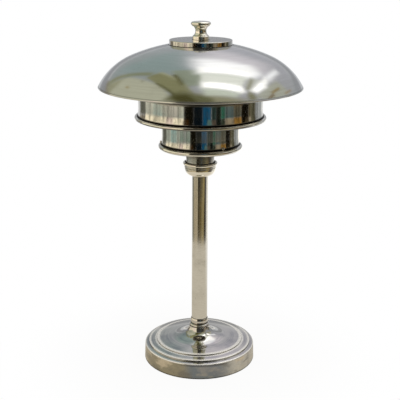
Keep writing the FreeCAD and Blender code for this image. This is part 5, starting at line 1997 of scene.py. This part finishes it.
@dataclass
class Daylight:
    """Plain white round everything, and one wide soft lamp overhead that only matt surfaces show."""

    dimmed: Colour = (1.0, 0.99, 0.97)
    strength: float = 0.8
    power: float = 9.0
    size: float = 1.6
    place: tuple[float, float, float] = (0.3, -0.5, 2.2)
    turn: Point = (13.0, 8.0)

    def build_world(self) -> None:
        """White round everything: seen as it is, and a little dimmer as light."""
        world = bpy.data.worlds.new("studio")
        world.use_nodes = True
        bpy.context.scene.world = world
        sheet = Sheet(world.node_tree)
        camera, glossy, clear = sheet.rays("Is Camera Ray", "Is Glossy Ray", "Is Transmission Ray")
        seen = camera.greater(glossy).greater(clear)
        white = sheet.add("ShaderNodeBackground", {}, {"Color": WHITE, "Strength": 1.0})
        light = sheet.add("ShaderNodeBackground", {}, {"Color": self.dimmed, "Strength": self.strength})
        mix = sheet.add("ShaderNodeMixShader", {}, {0: seen, 1: light.outputs[0], 2: white.outputs[0]})
        sheet.finish(mix.outputs[0], "ShaderNodeOutputWorld")

    def build_lamp(self) -> None:
        """Make the soft lamp."""
        data = bpy.data.lights.new("soft_box", "AREA")
        data.shape, data.size, data.energy = "DISK", self.size, self.power
        lamp = bpy.data.objects.new("soft_box", data)
        lamp.location = self.place
        lamp.rotation_euler = (math.radians(self.turn[0]), math.radians(self.turn[1]), 0)
        lamp.visible_glossy = False
        bpy.context.scene.collection.objects.link(lamp)

    def build(self) -> None:
        """Make the world and the lamp."""
        self.build_world()
        self.build_lamp()


class Assembly(Protocol):
    """Anything that main builds."""

    def build(self) -> None:
        """Make its pieces."""


def dress_solids(frame: Mapping[str, Any]) -> None:
    """Give every solid that is still shown the finish of its material slot.
    """
    made: dict[str, bpy.types.Material] = {}
    slots: dict[str, str] = slot_names(frame["record"])
    for name, thing in frame["nodes"].items():
        if thing.hide_render:
            continue
        slot = slots.get(name, "plated_steel")
        if slot not in made:
            made[slot] = FINISHES.get(slot, STEEL).material()
        dress(thing, made[slot])
        LOG.info("%s: dressed as %s", name, slot)


def slot_names(record: Mapping[str, Any]) -> dict[str, str]:
    """The material slot of each node, as the record gives it.

    Args:
        record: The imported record.

    Returns:
        Slot names by node.
    """
    slots: dict[str, str] = {}
    for node in record.get("subparts", []):
        if isinstance(node, Mapping):
            slots[node["node"]] = node["material_slot"]
    return slots


def main() -> None:
    """Build the lamp's pieces in order, then the studio."""
    logging.basicConfig(level=logging.INFO, format="%(name)s: %(message)s")
    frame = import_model()
    view = bpy.context.scene.view_settings
    view.view_transform = "Standard"
    parts: tuple[Assembly, ...] = (
        Foot(),
        Column(),
        # The last number of each drum is where the painted shade under the overhang above begins.
        Drum("lower_reflector", "lower_drum", 58.7, 338.3, 399.87, 62.95, 6.9, 379.0),
        DrumScrews("lower_screws", "lower_drum_screws", 58.7, 347.87),
        Drum("upper_reflector", "upper_drum", 92.7, 383.67, 439.87, 97.85, 3.7, 419.5),
        DrumScrews("upper_screws", "upper_drum_screws", 92.7, 433.87),
        Shade(),
        Knob(),
        Bulb(),
    )
    studio: tuple[Assembly, ...] = (Lens(), Daylight(), Floor(), Room())
    for part in parts:
        part.build()
        LOG.info("built %s", type(part).__name__)
    dress_solids(frame)
    for part in studio:
        part.build()
        LOG.info("built %s", type(part).__name__)


if __name__ == "__main__":
    main()
